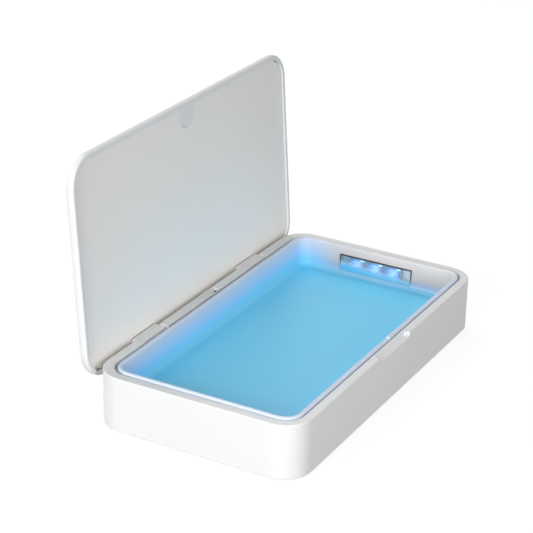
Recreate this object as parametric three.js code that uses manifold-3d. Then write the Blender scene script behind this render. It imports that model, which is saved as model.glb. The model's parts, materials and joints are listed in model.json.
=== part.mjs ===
// A uv sanitizer box: a shallow white case with a smooth bright tray, three uv lamps behind a clear window
// in the tray's end wall, and a hinged lid that carries the start button. The lid stands open on its stop.
// Millimetres. +X runs along the case towards the lamps, +Y towards the hinge, +Z up. Heights below are
// measured from the underside of the bottom cover; the last group stands the box on its feet over the origin.

import * as THREE from "three";
import { mergeVertices } from "three/addons/utils/BufferGeometryUtils.js";
import Module from "manifold-3d";

const wasm = await Module();
wasm.setup();

// Driving dimensions of the case.
const CASE_LENGTH = 214;
const CASE_WIDTH = 119;
const CORNER_R = 15.4;
const RIM_Z = 29.3;
const WALL = 2.2;
const SLAB_Z = 25.6; // underside of the rim slab
const SKIRT_Z = -0.8; // lower edge of the housing, which reaches a little past the cover set into it
const SKIRT_R = 0.4;
const TOP_EDGE_R = 0.8;
const FIT = 0.3; // gap left between two pieces that touch

// The tray stands in the rim as a bead, with a groove round it that is wider on the hinge side.
const TRAY_BORDER = 5.5; // case edge to bead, at the front
const TRAY_END_BORDER = 6; // the same, at both ends
const TRAY_BACK_Y = 51.6;
const TRAY_R = 10;
const BEAD_WIDTH = 2.4;
const BEAD_TOP_Z = 30.3;
const BEAD_FOOT_Z = 26.8;
const TRAY_FLOOR_Z = 13.5;
const TRAY_SKIN = 1.5;
const FLOOR_FILLET = 3.5;
const GROOVE = 0.8;
const GROOVE_BACK = 2.1;
const LEDGE = 0.6; // how far the ledge in the rim reaches under the bead
const BEAD_GAP_HALF = 5.2;

// The lid, drawn closed and then turned back about the hinge.
const LID_GAP = 0.3;
const LID_THICK = 6.2;
const LID_OPEN_DEG = 93.87;
const HINGE_Y = 56.05;
const HINGE_Z = 24.84;
const LID_RIM = 2.8; // width of the lid's rim, outer edge to groove
const LID_GROOVE = 0.6;
const PANEL_RECESS = 1.5;
const PANEL_THICK = 1.2;
const LID_SKIN = 1.8;
const LID_ROUND = 4; // round of the lid's outer edge
const LID_LEDGE = 3.1; // step in the lid that carries the panel's edge
const COVE_R = 5.7; // hollow in the lid's rear rim that rolls over the case's back edge
const COVE_HALF = 100;

// Hinge arms.
const ARM_X = 53.7;
const ARM_HALF = 10.8;
const ARM_FRONT = 4.1; // arm's front and rear faces, from the hinge axis, with the lid closed
const ARM_REAR = 3.3;
const ARM_DROP = 1.9;
const PIN_R = 1.5;
const PIN_REACH = 3.2; // pin beyond each side of its arm
const EAR = { width: 4, front: 3.4, drop: 4.2 }; // an ear beside an arm, from the hinge axis
const ARM_ROOM = 0.4; // air between an arm's swing and its notch
const ARM_ROOT_Y = 45; // front edge of the arm's root plate, inside the lid
const ARM_NECK_INSET = 2.8; // case edge to the back of the arm's neck
const STAKE = { x: 6, y: 48.6, r: 1.2 }; // stakes that fix a root plate, x from the arm's middle

// Start button and the round pocket that holds it, at the middle of the lid's free edge.
const POCKET_X = 1.2;
const POCKET_Y = -51.9;
const POCKET_R = 6.8;
const BUTTON_Y = -51.4;
const WELL_R = 4.8;
const POCKET_FACE = 1.1; // pocket's face, above the lid's rim plane
const BUTTON_R = 4;
const BUTTON_PROUD = 0.4;
const WELL_DEPTH = 3.9;
const REBATE_DEPTH = 0.8; // wider top of the well, for the button's ring
const REBATE_R = WELL_R + 1;
const NECK = { far: 2, near: 4.9, half: 4 }; // ramp from the rim to the pocket, from the case edge

// Uv lamps behind the window in the tray's +X wall.
const WINDOW_HALF_Y = 23;
const WINDOW_Z = [15.6, 25.2];
const WINDOW_X = 96.9;
const LAMP_PITCH = 11.7;
const LAMP_ROW_Y = 2; // middle of the row of lamps
const LAMP_Z = 18.6;
const LAMP_CHIP_HALF = 1.8;
const LAMP_DOME = { r: 1.6, reach: 2.7 }; // reach is from the board to the dome's centre
const BEZEL_WIDTH = 0.9;
const BEZEL_DEPTH = 1.4;

// Feet, screws and the finger scoop.
const FOOT_R = 5.9;
const FOOT_H = 1.5;
const FOOT_INSET = 10.5;
const BOSS_INSET = 8.2;
const BOSS_R = 3.2;
const BOSS_Z = [2.1, 16];
const SCREW = { holeR: 1.4, holeTop: 12, recessR: 2.6, recessTop: 1.1, headR: 2.2, shankR: 1.1, top: 10 };
const SCOOP = { half: 18, reach: 4.2, drop: 2.8, slant: 1.2 }; // a flat ramp with slanted ends
const SHIFT_Y = 7.72; // case centre to the middle of the open box, along Y

// What the case holds under the tray and the rim.
const COVER_TOP = 1.8;
const BOARD = { x0: 42, x1: 91, y0: 18, y1: CASE_WIDTH / 2 - WALL - 0.4, z0: 4.2, z1: 5.6 };
const BOARD_PAD = { inset: 4, r: 2.4 };
const CHIP = { x0: 60, x1: 69, y0: 28, y1: 37, thick: 1.5 };
const SOCKET = { x: 72, z: 7.6, halfWidth: 4.5, halfHeight: 1.65, depth: 8, wall: 0.35 };
const TONGUE = { halfWidth: 3.2, halfHeight: 0.35 };
const CHANNEL = { x0: -11.5, x1: 8.4, y0: 54.4, y1: 58.2, depth: 1.4 }; // in the back rim
const CHANNEL_HOLE = { x0: 5.6, x1: 8.2, y1: 56.8 };
const SENSOR_Z = [21.5, 27.7];
const LAMP_HOLE = { x: 15.9, r: 1.1 }; // for the indicator lamp, in the scoop
const MAGNET = { x: 24, halfX: 5 };
const RIM_SHELF_Y = [-56.9, -53.6]; // room under the front rim, for the magnets
const LEAD_R = 0.7;

const LID_Z = RIM_Z + LID_GAP; // the closed lid's rim plane
const LID_TOP_Z = LID_Z + LID_THICK;
const PANEL_TOP = LID_Z + PANEL_RECESS + PANEL_THICK + FIT; // seat behind the panel
const ENDS = [-1, 1];

const CASE = { x: CASE_LENGTH / 2, y0: -CASE_WIDTH / 2, y1: CASE_WIDTH / 2, r: CORNER_R };
const TRAY = { x: CASE.x - TRAY_END_BORDER, y0: CASE.y0 + TRAY_BORDER, y1: TRAY_BACK_Y, r: TRAY_R };
const MOUTH = {
  x: TRAY.x + GROOVE,
  y0: TRAY.y0 - GROOVE,
  y1: TRAY.y1 + GROOVE_BACK,
  r: TRAY_R + GROOVE,
};

// Shapes

// One level of a rounded rectangle, drawn in by inset, as points counter-clockwise seen from above.
function ring(outline, inset, z, steps = 7) {
  const r = Math.max(outline.r - inset, 0.05);
  const x = outline.x - inset - r;
  const low = outline.y0 + inset + r;
  const high = outline.y1 - inset - r;
  const centres = [
    [x, high],
    [-x, high],
    [-x, low],
    [x, low],
  ];
  const points = [];
  centres.forEach(([cx, cy], quarter) => {
    for (let k = 0; k <= steps; k++) {
      const turn = (Math.PI / 2) * (quarter + k / steps);
      points.push(new THREE.Vector3(cx + r * Math.cos(turn), cy + r * Math.sin(turn), z));
    }
  });
  return points;
}

// A closed skin through rings of equal count, with a flat fan on the first and the last.
function skin(rings) {
  const count = rings[0].length;
  const middle = (points) =>
    points.reduce((sum, p) => sum.add(p), new THREE.Vector3()).divideScalar(points.length);
  const corners = [];
  const face = (a, b, c) => corners.push(...a.toArray(), ...b.toArray(), ...c.toArray());
  const first = rings[0];
  const last = rings[rings.length - 1];
  for (let j = 0; j < count; j++) {
    const k = (j + 1) % count;
    face(middle(first), first[k], first[j]);
    face(middle(last), last[j], last[k]);
    for (let i = 0; i + 1 < rings.length; i++) {
      face(rings[i][j], rings[i][k], rings[i + 1][k]);
      face(rings[i][j], rings[i + 1][k], rings[i + 1][j]);
    }
  }
  const geometry = new THREE.BufferGeometry();
  geometry.setAttribute("position", new THREE.Float32BufferAttribute(corners, 3));
  return geometry;
}

// A skin from a list of [inset, height] pairs on one outline.
const lofted = (outline, levels, steps) => skin(levels.map(([inset, z]) => ring(outline, inset, z, steps)));

// Levels of a quarter round from [inset a, height a] to [inset b, height b], bulging outwards.
function quarter(insetA, zA, insetB, zB, steps) {
  const levels = [];
  for (let k = 0; k <= steps; k++) {
    const turn = (Math.PI / 2) * (k / steps);
    levels.push([insetA + (insetB - insetA) * (1 - Math.cos(turn)), zA + (zB - zA) * Math.sin(turn)]);
  }
  return levels;
}

function block(x0, x1, y0, y1, z0, z1) {
  const cuboid = new THREE.BoxGeometry(x1 - x0, y1 - y0, z1 - z0);
  return cuboid.translate((x0 + x1) / 2, (y0 + y1) / 2, (z0 + z1) / 2);
}

const post = (x, y, z0, z1, r, sides = 20) =>
  new THREE.CylinderGeometry(r, r, z1 - z0, sides).rotateX(Math.PI / 2).translate(x, y, (z0 + z1) / 2);

const rod = (x0, x1, y, z, r, sides = 20) =>
  new THREE.CylinderGeometry(r, r, x1 - x0, sides).rotateZ(Math.PI / 2).translate((x0 + x1) / 2, y, z);

// A prism along X between x0 and x1, from a closed list of [y, z] points.
function prism(points, x0, x1) {
  const shape = new THREE.Shape(points.map(([y, z]) => new THREE.Vector2(y, z)));
  const geometry = new THREE.ExtrudeGeometry(shape, { depth: x1 - x0, bevelEnabled: false });
  const turn = new THREE.Matrix4().set(0, 0, 1, x0, 1, 0, 0, 0, 0, 1, 0, 0, 0, 0, 0, 1);
  return geometry.applyMatrix4(turn);
}

// Cuts and joins

function solid(geometry) {
  const bare = geometry.clone();
  bare.deleteAttribute("normal");
  bare.deleteAttribute("uv");
  const merged = mergeVertices(bare, 1e-4);
  const vertProperties = Float32Array.from(merged.attributes.position.array);
  const triVerts = Uint32Array.from(merged.index.array);
  return new wasm.Manifold(new wasm.Mesh({ numProp: 3, vertProperties, triVerts }));
}

function geometryOf(body) {
  const { vertProperties, triVerts } = body.getMesh();
  const geometry = new THREE.BufferGeometry();
  geometry.setAttribute("position", new THREE.Float32BufferAttribute(vertProperties, 3));
  geometry.setIndex(new THREE.Uint32BufferAttribute(triVerts, 1));
  return geometry;
}

const joined = (...shapes) => geometryOf(shapes.map(solid).reduce((all, next) => all.add(next)));

function cut(shape, ...tools) {
  return geometryOf(tools.map(solid).reduce((left, tool) => left.subtract(tool), solid(shape)));
}

const common = (a, b) => geometryOf(solid(a).intersect(solid(b)));

// Scene graph

const box = new THREE.Group();
const base = new THREE.Group();
const lid = new THREE.Group();

function add(group, name, geometry, look) {
  const mesh = new THREE.Mesh(geometry, new THREE.MeshStandardMaterial(look));
  mesh.name = name;
  group.add(mesh);
}

const WHITE_GLOSS = { color: "#f4f5f6", roughness: 0.28 };
const WHITE_SATIN = { color: "#eceef0", roughness: 0.45 };
const PANEL_GREY = { color: "#d3d4d5", roughness: 0.5 };
const RUBBER = { color: "#4a4c4e", roughness: 0.85 };
const STEEL = { color: "#b9bcc0", roughness: 0.3, metalness: 1 };
const MIRROR = { color: "#e6e9ee", roughness: 0.12, metalness: 1 };
const BLACK = { color: "#1d1f23", roughness: 0.4 };
const BOARD_GREEN = { color: "#1f6b46", roughness: 0.5 };
const BOARD_WHITE = { color: "#e9ece8", roughness: 0.5 };
const CLEAR = { color: "#dfeefa", roughness: 0.05, transparent: true, opacity: 0.35 };
const LAMP_GLOW = { color: "#7cc6ff", roughness: 0.3, emissive: "#4aa8ff" };

// Case

const armSides = (side) => [side * ARM_X - ARM_HALF, side * ARM_X + ARM_HALF];

// Room in the rim and the back wall for a hinge arm to swing in.
function armNotch(side) {
  const [x0, x1] = armSides(side);
  const front = HINGE_Y - Math.hypot(ARM_FRONT, ARM_DROP) - ARM_ROOM;
  const low = HINGE_Z - ARM_REAR - ARM_ROOM - 0.2;
  return block(x0 - FIT, x1 + FIT, front, CASE.y1 + 1, low, RIM_Z + 1);
}

// Two ears under the rim, one each side of an arm, that hold the ends of its pin.
function pinEars(side) {
  const [x0, x1] = armSides(side);
  const back = CASE.y1 - WALL + 0.2;
  return [x0 - FIT - EAR.width, x1 + FIT].map((x) =>
    block(x, x + EAR.width, HINGE_Y - EAR.front, back, HINGE_Z - EAR.drop, SLAB_Z + 0.2),
  );
}

const pinBore = (side) => {
  const [x0, x1] = armSides(side);
  const reach = FIT + EAR.width + 0.1;
  return rod(x0 - reach, x1 + reach, HINGE_Y, HINGE_Z, PIN_R + FIT);
};

const cornerPlaces = (inset) =>
  ENDS.flatMap((sx) => ENDS.map((sy) => [sx * (CASE.x - inset), sy * (CASE.y1 - inset)]));

// The finger scoop is a ramp that falls from the rim to the front face. It is cut with a three-sided bar that
// stands clear of the face and the rim, and shrinks at its ends.
function fingerScoop() {
  const { half, reach, drop, slant } = SCOOP;
  const clear = 1;
  const slope = drop / reach;
  const section = (x, lift) => {
    const front = new THREE.Vector3(x, CASE.y0 - clear, RIM_Z - drop - clear * slope + lift);
    const back = new THREE.Vector3(x, CASE.y0 + reach + clear / slope - lift / slope, RIM_Z + clear);
    return [front, back, new THREE.Vector3(x, CASE.y0 - clear, RIM_Z + clear)];
  };
  const end = half - slant;
  return skin([section(-half, drop), section(-end, 0), section(end, 0), section(half, drop)]);
}

// The channel in the back rim slopes down to a small hole at its +X end.
function sensorChannel() {
  const { x0, x1, y0, y1, depth } = CHANNEL;
  const wedge = new THREE.Shape([
    new THREE.Vector2(x0, RIM_Z),
    new THREE.Vector2(x1, RIM_Z - depth),
    new THREE.Vector2(x1, RIM_Z + 1),
    new THREE.Vector2(x0, RIM_Z + 1),
  ]);
  return new THREE.ExtrudeGeometry(wedge, { depth: y1 - y0, bevelEnabled: false })
    .rotateX(Math.PI / 2)
    .translate(0, y1, 0);
}

// A round bar that goes down and in, square to the scoop's ramp, from a point this far out of it.
const slanted = (x, length, out, r, domed) => {
  const shape = domed
    ? new THREE.LatheGeometry(
        [
          new THREE.Vector2(0, -length),
          new THREE.Vector2(r, -length),
          new THREE.Vector2(r, -r * 0.6),
          new THREE.Vector2(r * 0.7, -r * 0.18),
          new THREE.Vector2(0, 0),
        ],
        12,
      )
    : new THREE.CylinderGeometry(r, r, length, 12).translate(0, -length / 2, 0);
  const lean = Math.atan2(SCOOP.drop, SCOOP.reach);
  const y = CASE.y0 + SCOOP.reach / 2 - out * Math.sin(lean);
  const z = RIM_Z - SCOOP.drop / 2 + out * Math.cos(lean);
  return shape.rotateX(Math.PI / 2 + lean).translate(x, y, z);
};

function channelHole() {
  const { x0, x1, y1 } = CHANNEL_HOLE;
  return block(x0, x1, CHANNEL.y0, y1, SLAB_Z - 1, RIM_Z);
}

function socketHole() {
  const { x, z, halfWidth, halfHeight } = SOCKET;
  const y = [CASE.y1 - WALL - 1, CASE.y1 + 1];
  return block(
    x - halfWidth - FIT,
    x + halfWidth + FIT,
    ...y,
    z - halfHeight - FIT,
    z + halfHeight + FIT,
  );
}

function baseHousing() {
  const edge = [
    ...quarter(0, SKIRT_Z + SKIRT_R, SKIRT_R, SKIRT_Z, 2).reverse(),
    ...quarter(0, RIM_Z - TOP_EDGE_R, TOP_EDGE_R, RIM_Z, 3),
  ];
  const cavity = lofted(CASE, [[WALL, SKIRT_Z - 1], [WALL, SLAB_Z]]);
  const mouth = lofted(MOUTH, [[0, BEAD_FOOT_Z - FIT], [0, RIM_Z + 1]]);
  const throat = lofted(TRAY, [[LEDGE, SLAB_Z - 1], [LEDGE, RIM_Z]]);
  const frame = cut(lofted(CASE, edge), cavity, mouth, throat);
  const bosses = cornerPlaces(BOSS_INSET).map(([x, y]) => post(x, y, ...BOSS_Z, BOSS_R));
  const body = joined(frame, ...bosses, ...pinEars(-1), ...pinEars(1));
  return cut(
    body,
    armNotch(-1),
    armNotch(1),
    pinBore(-1),
    pinBore(1),
    fingerScoop(),
    sensorChannel(),
    channelHole(),
    slanted(LAMP_HOLE.x, 8, 2, LAMP_HOLE.r, false),
    socketHole(),
    ...cornerPlaces(BOSS_INSET).map(([x, y]) => post(x, y, 0, SCREW.holeTop, SCREW.holeR, 12)),
  );
}

add(base, "base_housing", baseHousing(), WHITE_GLOSS);

// The tray: up the outside, over the rounded bead, and down the smooth inside to the floor.
function innerTray() {
  const floorOut = TRAY_FLOOR_Z - TRAY_SKIN;
  const wallIn = 4; // inset of the wall where it meets the fillet, from the bead's outer edge
  const filletIn = FLOOR_FILLET + wallIn;
  const filletZ = TRAY_FLOOR_Z + FLOOR_FILLET;
  const half = BEAD_WIDTH / 2;
  const shoulder = BEAD_TOP_Z - 0.7;
  const outside = [
    [filletIn, floorOut],
    ...quarter(wallIn - 0.8, filletZ + 0.6, filletIn, floorOut, 4).reverse().slice(1),
    [half, BEAD_FOOT_Z - 0.02],
    [0, BEAD_FOOT_Z],
    [0, shoulder],
    [half * 0.3, BEAD_TOP_Z - 0.2],
    [half, BEAD_TOP_Z],
  ];
  const inside = [
    [BEAD_WIDTH - half * 0.3, BEAD_TOP_Z - 0.2],
    [BEAD_WIDTH, shoulder],
    [BEAD_WIDTH + 0.3, BEAD_FOOT_Z],
    ...quarter(wallIn, filletZ, filletIn, TRAY_FLOOR_Z, 6),
  ];
  const bowl = lofted(TRAY, [...outside, ...inside]);
  const gapY = [TRAY.y0 - 1, TRAY.y0 + BEAD_WIDTH + 0.6];
  const thumbGap = block(-BEAD_GAP_HALF, BEAD_GAP_HALF, ...gapY, RIM_Z + 0.1, BEAD_TOP_Z + 1);
  const [low, high] = WINDOW_Z;
  const halfY = WINDOW_HALF_Y + FIT;
  const lampHole = block(WINDOW_X - 2.4, WINDOW_X + 3.6, -halfY, halfY, low - FIT, high + FIT);
  return cut(bowl, thumbGap, lampHole);
}

add(base, "inner_tray", innerTray(), WHITE_SATIN);

function bottomCover() {
  const edge = WALL + FIT;
  const plate = lofted(CASE, [[edge + 0.3, 0], [edge, 0.3], [edge, COVER_TOP]]);
  const { inset, r } = BOARD_PAD;
  const pads = [BOARD.x0 + inset, BOARD.x1 - inset].flatMap((x) =>
    [BOARD.y0 + inset, BOARD.y1 - inset].map((y) => post(x, y, COVER_TOP - 0.2, BOARD.z0 - FIT, r, 12)),
  );
  const holes = cornerPlaces(BOSS_INSET).flatMap(([x, y]) => [
    post(x, y, -1, 4, SCREW.holeR, 12),
    post(x, y, -1, SCREW.recessTop, SCREW.recessR, 16),
  ]);
  return cut(joined(plate, ...pads), ...holes);
}

add(base, "bottom_cover", bottomCover(), WHITE_SATIN);

const cornerNames = ["front_left", "back_left", "front_right", "back_right"];

function foot(x, y) {
  const bevel = 0.3;
  const profile = [
    [0, -FOOT_H],
    [FOOT_R - bevel, -FOOT_H],
    [FOOT_R, -FOOT_H + bevel],
    [FOOT_R, -FIT],
    [0, -FIT],
  ];
  return new THREE.LatheGeometry(profile.map(([r, z]) => new THREE.Vector2(r, z)), 28)
    .rotateX(Math.PI / 2)
    .translate(x, y, 0);
}

cornerPlaces(FOOT_INSET).forEach(([x, y], i) => add(base, `foot_${cornerNames[i]}`, foot(x, y), RUBBER));

cornerPlaces(BOSS_INSET).forEach(([x, y], i) => {
  const head = post(x, y, 0.2, 0.8, SCREW.headR, 16);
  const screw = joined(head, post(x, y, 0.5, SCREW.top, SCREW.shankR, 10));
  add(base, `cover_screw_${cornerNames[i]}`, screw, STEEL);
});

// Lamps

const windowInner = {
  y: WINDOW_HALF_Y - BEZEL_WIDTH,
  z0: WINDOW_Z[0] + BEZEL_WIDTH,
  z1: WINDOW_Z[1] - BEZEL_WIDTH,
};

add(
  base,
  "window_bezel",
  cut(
    block(WINDOW_X, WINDOW_X + BEZEL_DEPTH, -WINDOW_HALF_Y, WINDOW_HALF_Y, ...WINDOW_Z),
    block(WINDOW_X - 1, WINDOW_X + 3, -windowInner.y, windowInner.y, windowInner.z0, windowInner.z1),
  ),
  BLACK,
);

add(
  base,
  "uv_window",
  block(
    WINDOW_X + 0.2,
    WINDOW_X + 1.1,
    -windowInner.y + FIT,
    windowInner.y - FIT,
    windowInner.z0 + FIT,
    windowInner.z1 - FIT,
  ),
  CLEAR,
);

const REFLECTOR = {
  x0: WINDOW_X + BEZEL_DEPTH + FIT,
  x1: WINDOW_X + 4.9,
  halfY: WINDOW_HALF_Y - 0.4,
  z0: WINDOW_Z[0] + FIT,
  z1: WINDOW_Z[1] - FIT,
};
const lampPlaces = [-LAMP_PITCH, 0, LAMP_PITCH].map((step) => LAMP_ROW_Y + step);
const WINDOW_MID_Z = (WINDOW_Z[0] + WINDOW_Z[1]) / 2;

// A four-sided cup that narrows from the window to the lamp.
function reflectorCup(y) {
  const square = (x, halfY, halfZ, z) =>
    [[-1, -1], [1, -1], [1, 1], [-1, 1]].map(
      ([sy, sz]) => new THREE.Vector3(x, y + sy * halfY, z + sz * halfZ),
    );
  return skin([
    square(REFLECTOR.x0 - 0.1, 5.5, 4.1, WINDOW_MID_Z),
    square(REFLECTOR.x1 - 0.6, 2.2, 2.2, LAMP_Z),
    square(REFLECTOR.x1 + 0.1, 2.2, 2.2, LAMP_Z),
  ]);
}

add(
  base,
  "lamp_reflector",
  cut(
    block(REFLECTOR.x0, REFLECTOR.x1, -REFLECTOR.halfY, REFLECTOR.halfY, REFLECTOR.z0, REFLECTOR.z1),
    ...lampPlaces.map(reflectorCup),
  ),
  MIRROR,
);

const LAMP_BOARD_X = REFLECTOR.x1 + 0.8;

lampPlaces.forEach((y, i) => {
  const half = LAMP_CHIP_HALF;
  const x = [LAMP_BOARD_X - 1.5, LAMP_BOARD_X - FIT];
  const chip = block(...x, y - half, y + half, LAMP_Z - half, LAMP_Z + half);
  const domeX = LAMP_BOARD_X - LAMP_DOME.reach;
  const stem = rod(domeX, LAMP_BOARD_X - 1, y, LAMP_Z, LAMP_DOME.r, 12);
  const dome = new THREE.SphereGeometry(LAMP_DOME.r, 12, 8).rotateZ(Math.PI / 2).translate(domeX, y, LAMP_Z);
  add(base, `uv_lamp_${i + 1}`, joined(chip, stem, dome), LAMP_GLOW);
});

const LAMP_BOARD = { halfY: 21, z0: WINDOW_MID_Z - 4, z1: WINDOW_MID_Z + 4, thick: 1 };

function lampBoard() {
  const { halfY, z0, z1, thick } = LAMP_BOARD;
  return block(LAMP_BOARD_X, LAMP_BOARD_X + thick, -halfY, halfY, z0, z1);
}

add(base, "lamp_board", lampBoard(), BOARD_WHITE);

// Electronics under the tray

add(base, "main_board", block(BOARD.x0, BOARD.x1, BOARD.y0, BOARD.y1, BOARD.z0, BOARD.z1), BOARD_GREEN);

function controlChip() {
  const { x0, x1, y0, y1, thick } = CHIP;
  const seat = BOARD.z1 + FIT;
  return block(x0, x1, y0, y1, seat, seat + thick);
}

add(base, "control_chip", controlChip(), BLACK);

// A flat-sided tube with a tongue inside, open towards the back.
function powerSocket() {
  const { x, z, halfWidth, halfHeight, depth, wall } = SOCKET;
  const back = CASE.y1 - 0.4;
  const oval = (grow) => {
    const r = halfHeight - grow;
    const reach = halfWidth - halfHeight;
    const shape = new THREE.Shape();
    shape.absarc(reach, 0, r, -Math.PI / 2, Math.PI / 2);
    shape.absarc(-reach, 0, r, Math.PI / 2, (3 * Math.PI) / 2);
    return shape;
  };
  const sleeve = (grow, from, to) =>
    new THREE.ExtrudeGeometry(oval(grow), { depth: to - from, bevelEnabled: false, curveSegments: 6 })
      .rotateX(Math.PI / 2)
      .translate(x, to, z);
  const shell = cut(sleeve(0, back - depth, back), sleeve(wall, back - depth + 1, back + 1));
  const tongue = block(
    x - TONGUE.halfWidth,
    x + TONGUE.halfWidth,
    back - depth + 0.5,
    back - 1,
    z - TONGUE.halfHeight,
    z + TONGUE.halfHeight,
  );
  return joined(shell, tongue);
}

add(base, "power_socket", powerSocket(), STEEL);

for (const side of ENDS) {
  const name = side < 0 ? "left" : "right";
  const { x, halfX } = MAGNET;
  const magnet = block(side * x - halfX, side * x + halfX, ...RIM_SHELF_Y, 22.4, SLAB_Z - FIT);
  add(base, `base_magnet_${name}`, magnet, STEEL);
  const [x0, x1] = armSides(side);
  add(base, `hinge_pin_${name}`, rod(x0 - PIN_REACH, x1 + PIN_REACH, HINGE_Y, HINGE_Z, PIN_R), STEEL);
}

// The sensor stands in the channel's hole and looks up at the lid's back edge.
function lidSensor() {
  const { x0, x1, y1 } = CHANNEL_HOLE;
  return block(x0 + FIT, x1 - FIT, CHANNEL.y0 + FIT, y1 - FIT, ...SENSOR_Z);
}

add(base, "lid_sensor", lidSensor(), BLACK);
add(base, "indicator_lamp", slanted(LAMP_HOLE.x, 5, 0.3, LAMP_HOLE.r - FIT, true), LAMP_GLOW);

// A round lead along a smooth curve.
function lead(points) {
  const path = new THREE.CatmullRomCurve3(points.map((p) => new THREE.Vector3(...p)));
  const section = new THREE.Shape();
  section.absarc(0, 0, LEAD_R, 0, Math.PI * 2);
  const settings = { extrudePath: path, steps: 16, curveSegments: 4, bevelEnabled: false };
  return new THREE.ExtrudeGeometry(section, settings);
}

const LAMP_LEAD_ROUTE = [
  [91.8, 30, 5],
  [97, 29, 5.4],
  [101.6, 25, 8],
  [103.1, 19, 12.4],
  [103.1, 17.6, 15.3],
];
const SENSOR_LEAD_ROUTE = [
  [41.6, 50, 4.9],
  [30, 52, 5.1],
  [14, 54.6, 8],
  [6.9, 55.6, 14],
  [6.9, 55.6, 21.1],
];

add(base, "lamp_lead", lead(LAMP_LEAD_ROUTE), RUBBER);
add(base, "sensor_lead", lead(SENSOR_LEAD_ROUTE), RUBBER);

// Lid, drawn closed

// Two posts that stake an arm's root plate to the lid.
const stakePosts = (side, z0, z1, r) =>
  ENDS.map((end) => post(side * ARM_X + end * STAKE.x, STAKE.y, z0, z1, r, 12));

function lidShell() {
  const edge = [
    ...quarter(0, LID_Z + 1.2, 1.3, LID_Z, 3).reverse(),
    ...quarter(0, LID_TOP_Z - LID_ROUND, LID_ROUND, LID_TOP_Z, 6),
  ];
  const ceiling = LID_TOP_Z - LID_SKIN;
  const recess = lofted(CASE, [[LID_RIM, LID_Z - 1], [LID_RIM, PANEL_TOP]]);
  const hollow = lofted(CASE, [[LID_RIM + LID_LEDGE, PANEL_TOP - 0.5], [LID_RIM + LID_LEDGE, ceiling]]);
  const cove = rod(-COVE_HALF, COVE_HALF, HINGE_Y, HINGE_Z, COVE_R, 40);
  const shell = cut(lofted(CASE, edge), recess, hollow, cove);
  const faceZ = LID_Z + POCKET_FACE;
  const panelEdge = LID_RIM + LID_GROOVE;
  const pocket = common(
    post(POCKET_X, POCKET_Y, faceZ, ceiling + 0.2, POCKET_R, 36),
    lofted(CASE, [[panelEdge, LID_Z], [panelEdge, LID_TOP_Z]]),
  );
  const far = CASE.y0 + NECK.far;
  const near = CASE.y0 + NECK.near;
  const slope = [[far, LID_Z], [near, faceZ], [near, ceiling + 0.2], [far, ceiling + 0.2]];
  const neck = prism(slope, -NECK.half, NECK.half);
  const stakes = ENDS.flatMap((side) => stakePosts(side, PANEL_TOP, ceiling + 0.2, STAKE.r));
  const armRooms = ENDS.flatMap((side) => {
    const [x0, x1] = armSides(side);
    const front = HINGE_Y - ARM_FRONT - FIT;
    return [
      block(x0 - FIT, x1 + FIT, front, CASE.y1 + 1, LID_Z - 1, LID_Z + PANEL_RECESS + FIT),
      block(x0 - FIT, x1 + FIT, front, CASE.y1 - ARM_NECK_INSET, LID_Z, ceiling),
    ];
  });
  return cut(
    joined(cut(shell, ...armRooms), pocket, neck, ...stakes),
    post(POCKET_X, BUTTON_Y, LID_TOP_Z - WELL_DEPTH, LID_TOP_Z + 1, WELL_R, 36),
    post(POCKET_X, BUTTON_Y, LID_TOP_Z - REBATE_DEPTH, LID_TOP_Z + 1, REBATE_R, 36),
  );
}

add(lid, "lid_shell", lidShell(), WHITE_GLOSS);

function lidPanel() {
  const inset = LID_RIM + LID_GROOVE;
  const face = LID_Z + PANEL_RECESS;
  const plate = lofted(CASE, [[inset, face], [inset, face + PANEL_THICK]]);
  const armGaps = ENDS.map((side) => {
    const [x0, x1] = armSides(side);
    return block(x0 - FIT, x1 + FIT, HINGE_Y - ARM_FRONT - FIT, CASE.y1, LID_Z, LID_TOP_Z);
  });
  return cut(plate, post(POCKET_X, POCKET_Y, LID_Z, LID_TOP_Z, POCKET_R + FIT, 36), ...armGaps);
}

add(lid, "lid_panel", lidPanel(), PANEL_GREY);

// A hinge arm: a bar with a round foot about the pin, and a root plate staked to the lid under the panel.
function hingeArm(side) {
  const [x0, x1] = armSides(side);
  const top = LID_Z + PANEL_RECESS;
  const steps = 8;
  const start = Math.PI + Math.asin(ARM_DROP / ARM_REAR);
  const section = [
    [HINGE_Y - ARM_FRONT, top],
    [HINGE_Y - ARM_FRONT, HINGE_Z - ARM_DROP],
  ];
  for (let k = 0; k <= steps; k++) {
    const turn = start + (2 * Math.PI - start) * (k / steps);
    section.push([HINGE_Y + ARM_REAR * Math.cos(turn), HINGE_Z + ARM_REAR * Math.sin(turn)]);
  }
  section.push([HINGE_Y + ARM_REAR, top]);
  const plateHigh = LID_TOP_Z - LID_SKIN - FIT;
  const neckBack = CASE.y1 - ARM_NECK_INSET - FIT;
  return cut(
    joined(
      prism(section, x0, x1),
      block(x0, x1, HINGE_Y - ARM_FRONT, neckBack, top - 0.5, plateHigh),
      block(x0, x1, ARM_ROOT_Y, neckBack, PANEL_TOP, plateHigh),
    ),
    rod(x0 - 1, x1 + 1, HINGE_Y, HINGE_Z, PIN_R + FIT),
    ...stakePosts(side, LID_Z, LID_TOP_Z, STAKE.r + FIT),
  );
}

for (const side of ENDS) {
  const name = side < 0 ? "left" : "right";
  add(lid, `hinge_arm_${name}`, hingeArm(side), WHITE_GLOSS);
  const { x, halfX } = MAGNET;
  const magnet = block(side * x - halfX, side * x + halfX, -52.7, -49.7, PANEL_TOP, PANEL_TOP + 1);
  add(lid, `lid_magnet_${name}`, magnet, STEEL);
}

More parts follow.
